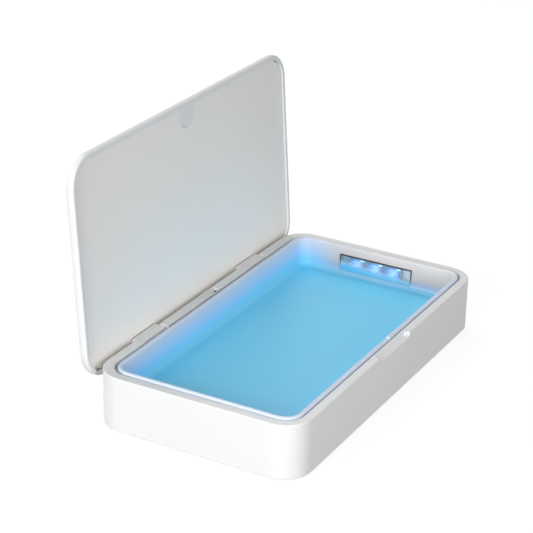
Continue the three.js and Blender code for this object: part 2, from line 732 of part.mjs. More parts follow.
// Switch board: a round plate with a press dome.
add(
  lid,
  "switch_board",
  joined(
    post(POCKET_X, BUTTON_Y, LID_TOP_Z - 3.6, LID_TOP_Z - 2.7, WELL_R - 0.4, 24),
    post(POCKET_X, BUTTON_Y, LID_TOP_Z - 3, LID_TOP_Z - 2.3, 2, 16),
  ),
  BOARD_GREEN,
);

add(
  lid,
  "button_bezel",
  cut(
    post(POCKET_X, BUTTON_Y, LID_TOP_Z - 0.5, LID_TOP_Z + 0.15, REBATE_R - FIT, 36),
    post(POCKET_X, BUTTON_Y, LID_TOP_Z - 2, LID_TOP_Z + 1, BUTTON_R + FIT, 36),
  ),
  STEEL,
);

// A flat lead from the pocket to the root of the right arm, under the panel.
function lidLead() {
  const z = [PANEL_TOP, PANEL_TOP + 0.5];
  const turnY = [36, 40];
  return joined(
    block(POCKET_X - 2, POCKET_X + 2, POCKET_Y + POCKET_R + FIT, turnY[1], ...z),
    block(POCKET_X - 2, ARM_X, ...turnY, ...z),
    block(ARM_X - 4, ARM_X, turnY[0], ARM_ROOT_Y - FIT, ...z),
  );
}

add(lid, "lid_lead", lidLead(), RUBBER);

add(
  lid,
  "start_button",
  joined(
    post(POCKET_X, BUTTON_Y, LID_TOP_Z - 1.6, LID_TOP_Z + BUTTON_PROUD, BUTTON_R, 36),
    post(POCKET_X, BUTTON_Y, LID_TOP_Z - 1.6, LID_TOP_Z - 0.8, WELL_R - FIT, 36),
  ),
  WHITE_SATIN,
);

// Open the lid: turn it back about the hinge, then stand the whole box on its feet over the origin.
const hinge = new THREE.Group();
hinge.position.set(0, HINGE_Y, HINGE_Z);
hinge.rotation.x = -THREE.MathUtils.degToRad(LID_OPEN_DEG);
lid.position.set(0, -HINGE_Y, -HINGE_Z);
hinge.add(lid);
box.add(base, hinge);
box.position.set(0, -SHIFT_Y, FOOT_H);

export default box;
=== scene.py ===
# %% [markdown]
# # A uv sanitizer box, dressed in Blender
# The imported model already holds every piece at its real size, with a hinge for the lid and a slide for the
# start button. This lesson leaves those pieces where they are and gives the box its looks: smooth moulded
# shells with soft edges, a tray that glows, and a clear window with three lamps behind it.

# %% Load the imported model
import json
import math

import bmesh
import bpy
from mathutils import Matrix, Vector


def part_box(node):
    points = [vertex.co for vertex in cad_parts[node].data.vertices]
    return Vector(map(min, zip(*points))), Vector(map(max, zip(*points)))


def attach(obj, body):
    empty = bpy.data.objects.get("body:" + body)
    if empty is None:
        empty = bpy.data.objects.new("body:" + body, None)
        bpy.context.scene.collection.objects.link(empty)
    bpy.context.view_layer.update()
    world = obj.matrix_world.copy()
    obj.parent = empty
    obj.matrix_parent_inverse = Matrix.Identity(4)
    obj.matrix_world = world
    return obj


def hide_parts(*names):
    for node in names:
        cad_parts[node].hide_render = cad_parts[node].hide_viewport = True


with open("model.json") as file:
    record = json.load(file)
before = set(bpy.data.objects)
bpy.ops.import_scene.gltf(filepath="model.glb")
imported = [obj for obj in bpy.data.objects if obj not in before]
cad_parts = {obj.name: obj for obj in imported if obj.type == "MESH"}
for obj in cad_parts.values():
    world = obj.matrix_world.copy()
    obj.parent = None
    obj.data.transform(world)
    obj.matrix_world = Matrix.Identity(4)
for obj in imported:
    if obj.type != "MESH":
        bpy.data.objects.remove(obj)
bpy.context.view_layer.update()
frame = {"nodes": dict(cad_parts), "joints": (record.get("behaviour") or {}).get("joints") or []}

# %% [markdown]
# ## Sizes
# Everything is drawn in millimetres, as on a maker's drawing of the case: x along the case, y across it,
# and z up from the underside of its bottom cover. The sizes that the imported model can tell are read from
# it. The others are the part's own driving dimensions, but for the gap round the window, which is finer
# here.

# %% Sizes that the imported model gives
MM = 0.001


def box_mm(node):
    low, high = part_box(node)
    return low / MM, high / MM


case_low, case_high = box_mm("base_housing")
CASE_LENGTH = case_high.x - case_low.x
CASE_WIDTH = case_high.y - case_low.y
MID_Y = (case_low.y + case_high.y) / 2
UNDERSIDE = box_mm("bottom_cover")[0].z
RIM_Z = case_high.z - UNDERSIDE
print(f"case {CASE_LENGTH:.1f} x {CASE_WIDTH:.1f} mm, rim {RIM_Z:.1f} mm above the cover")

hinge = next(joint for joint in frame["joints"] if joint["name"] == "lid_hinge")
HINGE = Vector(hinge["pos_m"])
OPEN_ANGLE = math.radians(hinge["range_deg"][1])
HINGE_Y = HINGE.y / MM - MID_Y
HINGE_Z = HINGE.z / MM - UNDERSIDE
print(f"hinge axis at y {HINGE_Y:.2f}, z {HINGE_Z:.2f} mm, lid open {math.degrees(OPEN_ANGLE):.1f} degrees")

# %% Driving dimensions, in millimetres
CORNER_R = 15.4
WALL = 2.2
SLAB_Z = 25.6
SKIRT_Z = -0.8
SKIRT_R = 0.4
TOP_EDGE_R = 0.8

TRAY_BORDER = 5.5
TRAY_END_BORDER = 6
TRAY_BACK_Y = 51.6
TRAY_R = 10
BEAD_WIDTH = 2.4
BEAD_TOP_Z = 30.3
BEAD_FOOT_Z = 26.8
TRAY_FLOOR_Z = 13.5
TRAY_SKIN = 1.5
FLOOR_FILLET = 3.5
GROOVE = 0.8
GROOVE_BACK = 2.1
LEDGE_Z = 26.5
LEDGE = 0.6
BEAD_GAP_HALF = 5.2

WINDOW_HALF_Y = 23
WINDOW_LOW = 15.6
WINDOW_HIGH = 25.2
WINDOW_MID_Z = (WINDOW_LOW + WINDOW_HIGH) / 2
WINDOW_X = 96.9
WINDOW_GAP = 0.08
LAMP_PITCH = 11.7
LAMP_ROW_Y = 2
LAMP_Z = 18.6

LID_Z = RIM_Z + 0.3
LID_THICK = 6.2
LID_TOP_Z = LID_Z + LID_THICK
LID_RIM = 2.8
LID_GROOVE = 0.6
LID_ROUND = 4
PANEL_RECESS = 1.5
PANEL_THICK = 1.2
COVE_R = 5.7
COVE_HALF = 100

ARM_X = 53.7
ARM_HALF = 10.8
ARM_FRONT = 4.1
ARM_REAR = 3.3
ARM_DROP = 1.9
FIT = 0.3

POCKET_X = 1.2
POCKET_Y = -51.9
POCKET_R = 6.8
POCKET_FACE = 1.1
NECK_HALF = 4
BUTTON_Y = -51.4
WELL_R = 4.8
BUTTON_R = 4.0
BUTTON_PROUD = 0.4
print(f"lid {LID_THICK} mm thick, window {2 * WINDOW_HALF_Y} by {WINDOW_HIGH - WINDOW_LOW:.1f} mm")

# %% [markdown]
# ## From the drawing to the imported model
# The base is drawn where it stands. The lid is drawn shut, which keeps its numbers plain, and one matrix
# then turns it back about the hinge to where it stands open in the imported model. One more stands the z axis
# of what is turned along the hinge's line.

# %% Matrices that place what is drawn
PLACE_BASE = Matrix.Diagonal((MM, MM, MM, 1)) @ Matrix.Translation((0, MID_Y, UNDERSIDE))
PLACE_LID = (
    Matrix.Translation(HINGE) @ Matrix.Rotation(-OPEN_ANGLE, 4, "X") @ Matrix.Translation(-HINGE) @ PLACE_BASE
)
PLACES = {"base": PLACE_BASE, "lid": PLACE_LID, "button": PLACE_LID}
ON_HINGE = Matrix.Translation((0, HINGE_Y, HINGE_Z)) @ Matrix.Rotation(math.pi / 2, 4, "Y")
print("places for:", ", ".join(PLACES))

# %% [markdown]
# ## The camera
# A photograph's camera can be found again from the straight edges of a box in it. Its place is kept as a
# bearing, a height angle and a distance from one point, in the same millimetres, and its focal length as
# pixels across a 533 pixel picture.

# %% Camera at the photograph's angle
PHOTO_PX = 533
FOCAL_PX = 1839.0
BEARING = math.radians(-61.1)
ELEVATION = math.radians(24.41)
ROLL = math.radians(1.17)
DISTANCE = 1119.5
AIM = Vector((107.14, 77.57, 0.36))
SENSOR_MM = 36


def make_camera():
    flat = math.cos(ELEVATION)
    back = Vector((math.sin(BEARING) * flat, -math.cos(BEARING) * flat, math.sin(ELEVATION)))
    level = Vector((math.cos(BEARING), math.sin(BEARING), 0))
    right = level * math.cos(ROLL) + back.cross(level) * math.sin(ROLL)
    up = back.cross(right)
    data = bpy.data.cameras.new("photo_camera")
    data.sensor_width = SENSOR_MM
    data.lens = FOCAL_PX * SENSOR_MM / PHOTO_PX
    camera = bpy.data.objects.new("photo_camera", data)
    bpy.context.scene.collection.objects.link(camera)
    turn = Matrix((right, up, back)).transposed().to_4x4()
    camera.matrix_world = Matrix.Translation(PLACE_BASE @ (AIM + back * DISTANCE)) @ turn
    bpy.context.scene.camera = camera
    return camera


camera = make_camera()
print("camera at", [round(v, 3) for v in camera.location], "lens", round(camera.data.lens, 1))

# %% [markdown]
# ## Helpers for materials
# Colours are written as sRGB hex, as a paint chart gives them, and one function turns them to the linear
# values that the shader works in. The others each add one kind of node and give back the socket to link
# from.

# %% Colour and node helpers


def linear(hex_colour):
    """The linear RGBA of an sRGB hex colour."""
    channels = [int(hex_colour[i : i + 2], 16) / 255 for i in (1, 3, 5)]
    return [c / 12.92 if c <= 0.04045 else ((c + 0.055) / 1.055) ** 2.4 for c in channels] + [1]


def add(tree, kind, inputs=None, **settings):
    """Adds a node. An input's value is a socket to link from, or a plain value."""
    made = tree.nodes.new(kind)
    for name, value in settings.items():
        setattr(made, name, value)
    for key, value in (inputs or {}).items():
        if isinstance(value, bpy.types.NodeSocket):
            tree.links.new(value, made.inputs[key])
        else:
            made.inputs[key].default_value = value
    return made


def new_material(name):
    """An empty material, its node tree, and the place on the object in metres, as a socket."""
    material = bpy.data.materials.new(name)
    material.use_nodes = True
    tree = material.node_tree
    tree.nodes.clear()
    return material, tree, add(tree, "ShaderNodeTexCoord").outputs["Object"]


def surfaced(material, inputs):
    """The material with one principled shader that takes these inputs."""
    shader = add(material.node_tree, "ShaderNodeBsdfPrincipled", inputs)
    add(material.node_tree, "ShaderNodeOutputMaterial", {"Surface": shader.outputs[0]})
    return material


def per_metre(period_mm):
    """The noise scale, on Object coordinates in metres, of a pattern that repeats each period."""
    return 1 / (period_mm * MM)


def noise(tree, place, period_mm, detail):
    """A soft noise that repeats about every period, as a socket."""
    made = add(tree, "ShaderNodeTexNoise", {"Vector": place, "Scale": per_metre(period_mm), "Detail": detail})
    return made.outputs["Fac"]


def ranged(tree, value, from_ends=(0, 1), to_ends=(0, 1), kind="LINEAR"):
    """The value carried over from one range to another, as a socket."""
    ends = {"From Min": from_ends[0], "From Max": from_ends[1], "To Min": to_ends[0], "To Max": to_ends[1]}
    made = add(tree, "ShaderNodeMapRange", {"Value": value, **ends}, interpolation_type=kind)
    return made.outputs["Result"]


def worked(tree, operation, *values):
    """What a Math node makes of up to three values, as a socket."""
    return add(tree, "ShaderNodeMath", dict(enumerate(values)), operation=operation).outputs[0]


def blend(tree, share, first, second):
    """The first colour where the share is 0 and the second where it is 1, as a socket."""
    mixed = add(tree, "ShaderNodeMix", {"Factor": share, "A": first, "B": second}, data_type="RGBA")
    return mixed.outputs["Result"]


def bumps(tree, height, depth_mm, **under):
    """The normal of a surface with bumps of this depth, as a socket."""
    made = add(tree, "ShaderNodeBump", {"Height": height, "Distance": depth_mm * MM, **under})
    return made.outputs["Normal"]


# %% [markdown]
# ## Moulded plastics
# The case is injection-moulded ABS. A polished steel mould gives it a soft gloss, broken by a shallow
# orange peel a millimetre or two across, and the colour drifts a little from place to place. All the
# plastic pieces share this build-up and differ in colour, gloss and grain.

# %% A moulded plastic
ABS_IOR = 1.54
EDGE_ROUND_MM = 0.2
DRIFT_MM = 35


def moulded(name, colour, roughness, grain, drift):
    """Moulded plastic, with its grain's spacing and depth in mm, and a second colour and its share."""
    material, tree, place = new_material(name)
    spacing, depth = grain
    second, largest = drift
    clouds = noise(tree, place, DRIFT_MM, 2.0)
    edge = add(tree, "ShaderNodeBevel", {"Radius": EDGE_ROUND_MM * MM}, samples=4)
    inputs = {
        "Base Color": blend(tree, ranged(tree, clouds, to_ends=(0, largest)), linear(colour), linear(second)),
        "Roughness": ranged(tree, clouds, to_ends=(roughness - 0.03, roughness + 0.04)),
        "IOR": ABS_IOR,
        "Normal": bumps(tree, noise(tree, place, spacing, 3.0), depth, Normal=edge.outputs["Normal"]),
    }
    return surfaced(material, inputs)


gloss_abs = moulded("gloss_white_abs", "#eceded", 0.3, (1.6, 0.006), ("#dfe1e3", 0.5))
# The panel's white is painted light: its warm cast offsets the blue light that bounces up from the tray, and
# it is paler than the case's to stand in for the brighter light on the panel.
satin_panel = moulded("satin_white_panel", "#fdf9f3", 0.62, (0.7, 0.008), ("#f9f5ef", 0.5))
matte_cover = moulded("matte_white_abs", "#e4e5e6", 0.6, (0.5, 0.02), ("#d8dadc", 0.5))
button_cap = moulded("smooth_white_cap", "#f0f1f1", 0.25, (1.2, 0.004), ("#e4e6e8", 0.5))
dark_plastic = moulded("matte_black_plastic", "#26282c", 0.5, (0.4, 0.01), ("#33363b", 0.5))
print("moulded plastics made")

# %% [markdown]
# ## Rubber, metal and boards
# The feet are grey rubber, which scatters light from a coarse surface. The small metal parts keep the
# default index of refraction, as metals do, and their drawn or plated finish comes from fine streaks in the
# roughness.

# %% Rubber, metals and boards
STREAK_LENGTH = 25


def drawn_metal(name, colour, roughness, streak_mm, along):
    """Metal with fine streaks along one axis, as drawing through a die leaves."""
    material, tree, place = new_material(name)
    stretch = [per_metre(streak_mm)] * 3
    stretch["XYZ".index(along)] = per_metre(streak_mm * STREAK_LENGTH)
    drawn_out = add(tree, "ShaderNodeMapping", {"Vector": place, "Scale": stretch}).outputs["Vector"]
    streaks = add(tree, "ShaderNodeTexNoise", {"Vector": drawn_out, "Scale": 1.0, "Detail": 2.0})
    gloss = ranged(tree, streaks.outputs["Fac"], to_ends=(roughness * 0.7, roughness * 1.4))
    return surfaced(material, {"Base Color": linear(colour), "Metallic": 1.0, "Roughness": gloss})


foot_rubber = moulded("grey_foot_rubber", "#4a4d50", 0.82, (0.45, 0.03), ("#5c5f62", 0.4))
lead_rubber = moulded("white_lead_insulation", "#dcdcd8", 0.55, (0.6, 0.01), ("#cfcfca", 0.5))
drawn_steel = drawn_metal("drawn_steel", "#b9bcc0", 0.3, 0.08, "X")
nickel_plate = drawn_metal("nickel_plate", "#c8c6c0", 0.2, 0.3, "Z")
bright_ring = drawn_metal("satin_plated_ring", "#d6d8db", 0.16, 0.1, "X")
gold_contact = drawn_metal("gold_contact", "#d9b36a", 0.22, 0.1, "Y")
board_green = moulded("green_solder_mask", "#1f6b46", 0.35, (0.8, 0.01), ("#2b7d55", 0.6))
board_white = moulded("white_solder_mask", "#e9ece8", 0.4, (0.8, 0.01), ("#dde2dd", 0.5))
print("rubber, metals and boards made")

# %% [markdown]
# ## The tray and its painted glow
# The tray is white plastic, but with the lamps on it is the brightest colour of the whole box: cyan over the
# floor, through lavender up the walls, to almost white at the bead. Light from three tiny lamps would fade
# quickly along the tray, so their glow is painted into the plastic's colour by height, with a little light of
# its own, and the real lamps add theirs on top. The end wall over the window is painted a darker, warmer
# grey above its glow, as painted shade.

# %% Tray plastic with the lamps' glow painted in, and painted shade on the end wall

# Painted glow by height, from the floor (0) to the top of the bead (1).
WALL_GLOW_COLOURS = ((0.0, "#66c4e6"), (0.3, "#7cc8f2"), (0.6, "#a8cbf0"), (0.85, "#c2d0e4"), (1.0, "#d2dcee"))
# The end wall's colours: painted glow at the foot, then a greyer, warmer white that is painted shade.
END_GLOW_AND_SHADE_COLOURS = ((0.0, "#66b4d6"), (0.27, "#9599ac"), (0.45, "#b1a8a2"))
END_GLOW_AND_SHADE_COLOURS += ((0.62, "#bfb4ad"), (0.85, "#cbc1bb"), (1.0, "#d1cbca"))
# Where the end wall's painted shade comes in along the case, and across it, in millimetres.
END_GLOW_AND_SHADE_X = (88, 97)
END_GLOW_AND_SHADE_Y = (52, 18)
# How much light of its own the tray's painted glow gives, near the floor and at the top.
GLOW_LIGHT = 0.2
GLOW_LEFT_AT_TOP = 0.03


def ramp(tree, stops, fraction):
    """The colour that a row of stops has at this fraction, as a socket."""
    made = add(tree, "ShaderNodeValToRGB", {"Fac": fraction})
    elements = made.color_ramp.elements
    for element, (position, colour) in zip(elements, (stops[0], stops[-1])):
        element.position = position
        element.color = linear(colour)
    for position, colour in stops[1:-1]:
        elements.new(position).color = linear(colour)
    return made.outputs["Color"]


def painted_glow_tray():
    material, tree, place = new_material("tray_material_painted_glow")
    x, y, z = add(tree, "ShaderNodeSeparateXYZ", {"Vector": place}).outputs
    height = ranged(tree, z, [(level + UNDERSIDE) * MM for level in (TRAY_FLOOR_Z, BEAD_TOP_Z)])
    drift = ranged(tree, noise(tree, place, 30, 1.0), to_ends=(-0.04, 0.04))
    where = worked(tree, "ADD", height, drift)
    at_end = ranged(tree, x, [end * MM for end in END_GLOW_AND_SHADE_X], kind="SMOOTHSTEP")
    to_front = ranged(tree, y, [(MID_Y + end) * MM for end in END_GLOW_AND_SHADE_Y], kind="SMOOTHSTEP")
    end_shade_share = worked(tree, "MULTIPLY", at_end, to_front)
    # The colour is painted light: the lamps' glow by height, and painted shade on the end wall.
    tint = blend(tree, end_shade_share, ramp(tree, WALL_GLOW_COLOURS, where), ramp(tree, END_GLOW_AND_SHADE_COLOURS, where))
    inputs = {
        "Base Color": tint,
        "Roughness": 0.35,
        "IOR": ABS_IOR,
        "Normal": bumps(tree, noise(tree, place, 1.6, 3.0), 0.005),
        # The tray's own light is the painted glow as well.
        "Emission Color": tint,
        "Emission Strength": ranged(tree, where, (0.2, 1.0), (GLOW_LIGHT, GLOW_LEFT_AT_TOP)),
    }
    return surfaced(material, inputs)


tray_with_painted_glow = painted_glow_tray()
print("tray plastic made")

# %% [markdown]
# ## Window, lamps and indicator
# The window is clear polycarbonate, thin enough that a see-through shader with a glossy skin looks right
# and stays quick to render. The tray's glow is painted over the foot of the window and of its frame, in their
# colour and as a faint light of their own. A lamp is a pale dome that seems to give the light, and a painted
# glow on the metallised cup round it stands in for the light it throws there.

# %% How far the tray's painted glow reaches up the window
WASH_FOOT = 0.4
WASH_HEAD = 5.6
WASH_TILT = 0.07


def painted_tray_glow(tree, place):
    """The share of the tray's painted glow over the window: 1 at its foot and 0 at its head, higher towards
    +Y, as a socket.
    """
    _, y, z = add(tree, "ShaderNodeSeparateXYZ", {"Vector": place}).outputs
    tilt = worked(tree, "MULTIPLY_ADD", y, -WASH_TILT, MID_Y * WASH_TILT * MM)
    ends = [(WINDOW_LOW + height + UNDERSIDE) * MM for height in (WASH_FOOT, WASH_HEAD)]
    return ranged(tree, worked(tree, "ADD", z, tilt), ends, (1, 0), "SMOOTHSTEP")


# %% Clear and glowing materials
POLYCARBONATE_IOR = 1.58
# Strength and reach of the painted glow on each cup round its lamp.
CUP_GLOW = 1.7
CUP_GLOW_ENDS = (1.0, 5.0)


def clear_sheet(name, colour, clearness):
    """A thin clear sheet with the shine of its polished faces, with the tray's glow painted over its foot in
    colour and a faint light of its own.
    """
    material, tree, place = new_material(name)
    wash = painted_tray_glow(tree, place)
    # The cyan and the faint light at the foot are the tray's painted glow.
    inputs = {
        "Base Color": blend(tree, wash, linear(colour), linear("#62b6d8")),
        "Roughness": ranged(tree, noise(tree, place, 9, 2.0), to_ends=(0.03, 0.09)),
        "IOR": POLYCARBONATE_IOR,
        "Alpha": worked(tree, "MULTIPLY_ADD", wash, clearness - 0.1, 1 - clearness),
        "Emission Color": linear("#46b4e2"),
        "Emission Strength": worked(tree, "MULTIPLY", wash, 0.12),
    }
    return surfaced(material, inputs)


def glowing(name, colour, pale, strength, cloud_mm):
    """A glowing dome or pad whose colour drifts between two shades, cloud_mm apart; on a pad the glow is a
    painted glint.
    """
    material, tree, place = new_material(name)
    heat = ranged(tree, noise(tree, place, cloud_mm, 1.0), (0.35, 0.65))
    tint = blend(tree, heat, linear(colour), linear(pale))
    inputs = {"Base Color": tint, "Roughness": 0.15, "Emission Color": tint, "Emission Strength": strength}
    return surfaced(material, inputs)


def painted_cup_glow():
    """A metallised cup with a painted glow round its lamp, in place of the lamp's light on it: the glow fades
    with distance from the nearest lamp's axis.
    """
    material, tree, place = new_material("cup_painted_lamp_glow")
    _, y, z = add(tree, "ShaderNodeSeparateXYZ", {"Vector": place}).outputs
    middle = (MID_Y + LAMP_ROW_Y) * MM
    half = LAMP_PITCH / 2 * MM
    beside = worked(tree, "SUBTRACT", worked(tree, "WRAP", y, middle + half, middle - half), middle)
    above = worked(tree, "SUBTRACT", z, (LAMP_Z + UNDERSIDE) * MM)
    flat = add(tree, "ShaderNodeCombineXYZ", {"Y": beside, "Z": above}).outputs[0]
    away = add(tree, "ShaderNodeVectorMath", {0: flat}, operation="LENGTH").outputs["Value"]
    ends = [end * MM for end in CUP_GLOW_ENDS]
    inputs = {
        "Base Color": linear("#8a919b"),
        "Metallic": 1.0,
        "Roughness": 0.3,
        "Emission Color": linear("#2f96ff"),
        "Emission Strength": ranged(tree, away, ends, (CUP_GLOW, 0), "SMOOTHSTEP"),
    }
    return surfaced(material, inputs)


def frame_shade_and_glow():
    """Dark plastic for the window's frame: its dark also stands in for the shadowed gap round the window, as
    painted shade, and the tray's glow is painted over its foot.
    """
    material, tree, place = new_material("window_frame_painted_shade_and_glow")
    inputs = {
        "Base Color": linear("#2b2d33"),
        "Roughness": 0.5,
        "IOR": ABS_IOR,
        "Normal": bumps(tree, noise(tree, place, 0.6, 2.0), 0.01),
        "Emission Color": linear("#62bce2"),
        "Emission Strength": worked(tree, "MULTIPLY", painted_tray_glow(tree, place), 0.8),
    }
    return surfaced(material, inputs)


window_clear = clear_sheet("clear_polycarbonate", "#dcefff", 0.86)
lamp_dome = glowing("lit_uv_dome", "#6aaeff", "#a9c6ff", 0.85, 3.0)
glint_pad_glow = glowing("painted_glint_pad", "#4fc4ff", "#bdeaff", 0.9, 1.0)
indicator_dome = glowing("standby_dome", "#e4e6ee", "#f4f5f8", 0.35, 1.0)
cup_with_painted_glow = painted_cup_glow()
window_frame_shade_and_glow = frame_shade_and_glow()
print("window and lamps made")

# %% [markdown]
# ## Helpers for meshes
# Most of the box is made by lofting: a rounded rectangle is drawn again and again at new insets and
# heights, and neighbouring outlines are joined by strips of faces. A round is then just a few more
# outlines, so every edge is real geometry. Slots and notches are cut afterwards with booleans.

# %% Outlines and lofts
CORNER_STEPS = 20
# How far in the middle point of a small two-step round lies, as a share of the round.
MIDWAY = 0.3


def outline(half_x, low_y, high_y, radius):
    return {"x": half_x, "y0": low_y, "y1": high_y, "r": radius}


CASE = outline(CASE_LENGTH / 2, -CASE_WIDTH / 2, CASE_WIDTH / 2, CORNER_R)
TRAY = outline(CASE["x"] - TRAY_END_BORDER, CASE["y0"] + TRAY_BORDER, TRAY_BACK_Y, TRAY_R)
MOUTH = outline(TRAY["x"] + GROOVE, TRAY["y0"] - GROOVE, TRAY_BACK_Y + GROOVE_BACK, TRAY_R + GROOVE)
print(f"tray {2 * TRAY['x']:.0f} x {TRAY['y1'] - TRAY['y0']:.0f} mm")


def ring(shape, inset, z):
    """A rounded rectangle at one height, counter-clockwise from above."""
    radius = max(shape["r"] - inset, 0.05)
    x = shape["x"] - inset - radius
    low = shape["y0"] + inset + radius
    high = shape["y1"] - inset - radius
    points = []
    for quarter, (cx, cy) in enumerate(((x, high), (-x, high), (-x, low), (x, low))):
        for k in range(CORNER_STEPS + 1):
            turn = math.pi / 2 * (quarter + k / CORNER_STEPS)
            points.append(Vector((cx + radius * math.cos(turn), cy + radius * math.sin(turn), z)))
    return points


def circle(x, y, z, radius, sides=48):
    turns = [2 * math.pi * k / sides for k in range(sides)]
    return [Vector((x + radius * math.cos(t), y + radius * math.sin(t), z)) for t in turns]


def quarter_round(inset_a, z_a, inset_b, z_b, steps=6):
    """Insets and heights of a quarter round that bulges outwards from a to b."""
    turns = [math.pi / 2 * k / steps for k in range(steps + 1)]
    wide, high = inset_b - inset_a, z_b - z_a
    return [(inset_a + wide * (1 - math.cos(t)), z_a + high * math.sin(t)) for t in turns]


def rings_on(shape, levels):
    return [ring(shape, inset, z) for inset, z in levels]


def loft(rings, closed=False):
    """A skin through the rings. An open loft is capped at both ends, and a closed one joins last to first."""
    skin = bmesh.new()
    rows = [[skin.verts.new(p) for p in points] for points in rings]
    pairs = list(zip(rows, rows[1:]))
    if closed:
        pairs.append((rows[-1], rows[0]))
    count = len(rows[0])
    for a, b in pairs:
        for i in range(count):
            j = (i + 1) % count
            skin.faces.new((a[i], a[j], b[j], b[i]))
    if not closed:
        skin.faces.new(list(reversed(rows[0])))
        skin.faces.new(rows[-1])
    return skin


def turned(profile, place, sides=48):
    """A shape turned on the z axis from (radius, height) points, then placed by a matrix."""
    skin = loft([circle(0, 0, z, max(radius, 0.001), sides) for radius, z in profile])
    skin.transform(place)
    return skin


def block(x0, x1, y0, y1, z0, z1):
    corners = ((x1, y0), (x1, y1), (x0, y1), (x0, y0))
    return loft([[Vector((x, y, z)) for x, y in corners] for z in (z0, z1)])


def prism_along_x(points, x0, x1):
    """A prism between x0 and x1 from (y, z) points, counter-clockwise seen from +X."""
    return loft([[Vector((x, y, z)) for y, z in points] for x in (x0, x1)])


def facing_out(skin):
    bmesh.ops.recalc_face_normals(skin, faces=skin.faces)
    return skin


# %% Cuts, joins and finished pieces
SHARP_ANGLE = math.radians(32)


def as_object(skin, name="scratch"):
    mesh = bpy.data.meshes.new(name)
    skin.to_mesh(mesh)
    skin.free()
    made = bpy.data.objects.new(name, mesh)
    bpy.context.scene.collection.objects.link(made)
    return made


def drop(obj):
    mesh = obj.data
    bpy.data.objects.remove(obj)
    bpy.data.meshes.remove(mesh)


def work_in(obj):
    """Works the object's modifiers into its mesh."""
    depsgraph = bpy.context.evaluated_depsgraph_get()
    result = bpy.data.meshes.new_from_object(obj.evaluated_get(depsgraph))
    obj.modifiers.clear()
    before = obj.data
    obj.data = result
    bpy.data.meshes.remove(before)


def boolean(skin, tools, operation):
    """Cuts the tools from the skin, or joins them to it, in millimetres, where the solver is most exact."""
    target = as_object(skin)
    for tool in tools:
        other = as_object(tool)
        step = target.modifiers.new("step", "BOOLEAN")
        step.object = other
        step.operation = operation
        step.solver = "EXACT"
        work_in(target)
        drop(other)
    made = bmesh.new()
    made.from_mesh(target.data)
    drop(target)
    return made


def cut(skin, *tools):
    return boolean(skin, tools, "DIFFERENCE")


def join(skin, *tools):
    return boolean(skin, tools, "UNION")


def hand_over(made, body, nodes):
    """Puts a finished piece on its body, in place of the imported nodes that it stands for."""
    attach(made, body)
    if nodes:
        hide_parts(*nodes)


def piece(name, skin, material, body, nodes=()):
    """A finished piece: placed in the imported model, shaded by its real edges, riding on its body."""
    bmesh.ops.dissolve_degenerate(skin, dist=1e-4, edges=skin.edges)
    skin.transform(PLACES[body])
    made = as_object(skin, name)
    made.data.materials.append(material)
    made.data.shade_smooth()
    made.data.set_sharp_from_angle(angle=SHARP_ANGLE)
    made.modifiers.new("even_shading", "WEIGHTED_NORMAL").keep_sharp = True
    work_in(made)
    hand_over(made, body, nodes)
    print(f"{name}: {len(made.data.polygons)} faces")


# %% [markdown]
# ## The base housing
# One moulding makes the outer wall and the flat rim, so one closed loft makes both: up the outside, round
# the top edge, across the rim, down the groove beside the tray, along the hidden ledge and back down inside
# the wall.

# %% Base housing


def housing_skin():
    outside = quarter_round(0, SKIRT_Z + SKIRT_R, SKIRT_R, SKIRT_Z, 5)[::-1]
    outside += quarter_round(0, RIM_Z - TOP_EDGE_R, TOP_EDGE_R, RIM_Z, 8)
    lip = 0.25
    mouth = [(-lip, RIM_Z), (-lip * MIDWAY, RIM_Z - lip * MIDWAY), (0, RIM_Z - lip), (0, LEDGE_Z)]
    ledge = [(LEDGE, LEDGE_Z), (LEDGE, SLAB_Z)]
    inside = [(WALL, SLAB_Z), (WALL, SKIRT_Z)]
    rings = rings_on(CASE, outside) + rings_on(MOUTH, mouth) + rings_on(TRAY, ledge) + rings_on(CASE, inside)
    return loft(rings, True)


# %% [markdown]
# ## What is cut into the housing
# The hinge arms stand in notches of the rim, between ears that carry their pins. A ramp in the front top
# edge is the finger scoop, with a hole for the indicator at its right end. The back rim has a sloped
# channel that ends in the lid sensor's hole, and the power socket looks out of the back wall.

# %% Notches for the hinge arms, and ears for their pins
EAR_WIDTH = 4
EAR_FRONT = 3.4
EAR_DROP = 4.2
BITE = 0.2


def arm_span(side, room=0.0):
    """The two ends of an arm along x, or of the room round it."""
    return side * ARM_X - ARM_HALF - room, side * ARM_X + ARM_HALF + room


def arm_notch(side):
    clear = 0.4
    front = HINGE_Y - math.hypot(ARM_FRONT, ARM_DROP) - clear
    low = HINGE_Z - ARM_REAR - clear - 0.2
    return block(*arm_span(side, FIT), front, CASE["y1"] + 1, low, RIM_Z + 1)


def pin_ears(side):
    """The two ears under the rim that carry an arm's pin. They bite a little into the rim and the wall."""
    x0, x1 = arm_span(side, FIT)
    span = (HINGE_Y - EAR_FRONT, CASE["y1"] - WALL + BITE, HINGE_Z - EAR_DROP, SLAB_Z + BITE)
    return [block(x0 - EAR_WIDTH, x0, *span), block(x1, x1 + EAR_WIDTH, *span)]


# %% Finger scoop, and the indicator's place on its ramp
SCOOP_HALF = 18
SCOOP_REACH = 4.2
SCOOP_DROP = 2.8
SCOOP_ENDS = ((14, 0.1), (15.6, 0.3), (16.8, 0.8), (17.6, 1.6), (SCOOP_HALF, SCOOP_DROP))
SCOOP_LEAN = math.atan2(SCOOP_DROP, SCOOP_REACH)
SCOOP_FLAT_HALF = 10
INDICATOR_X = 15.9


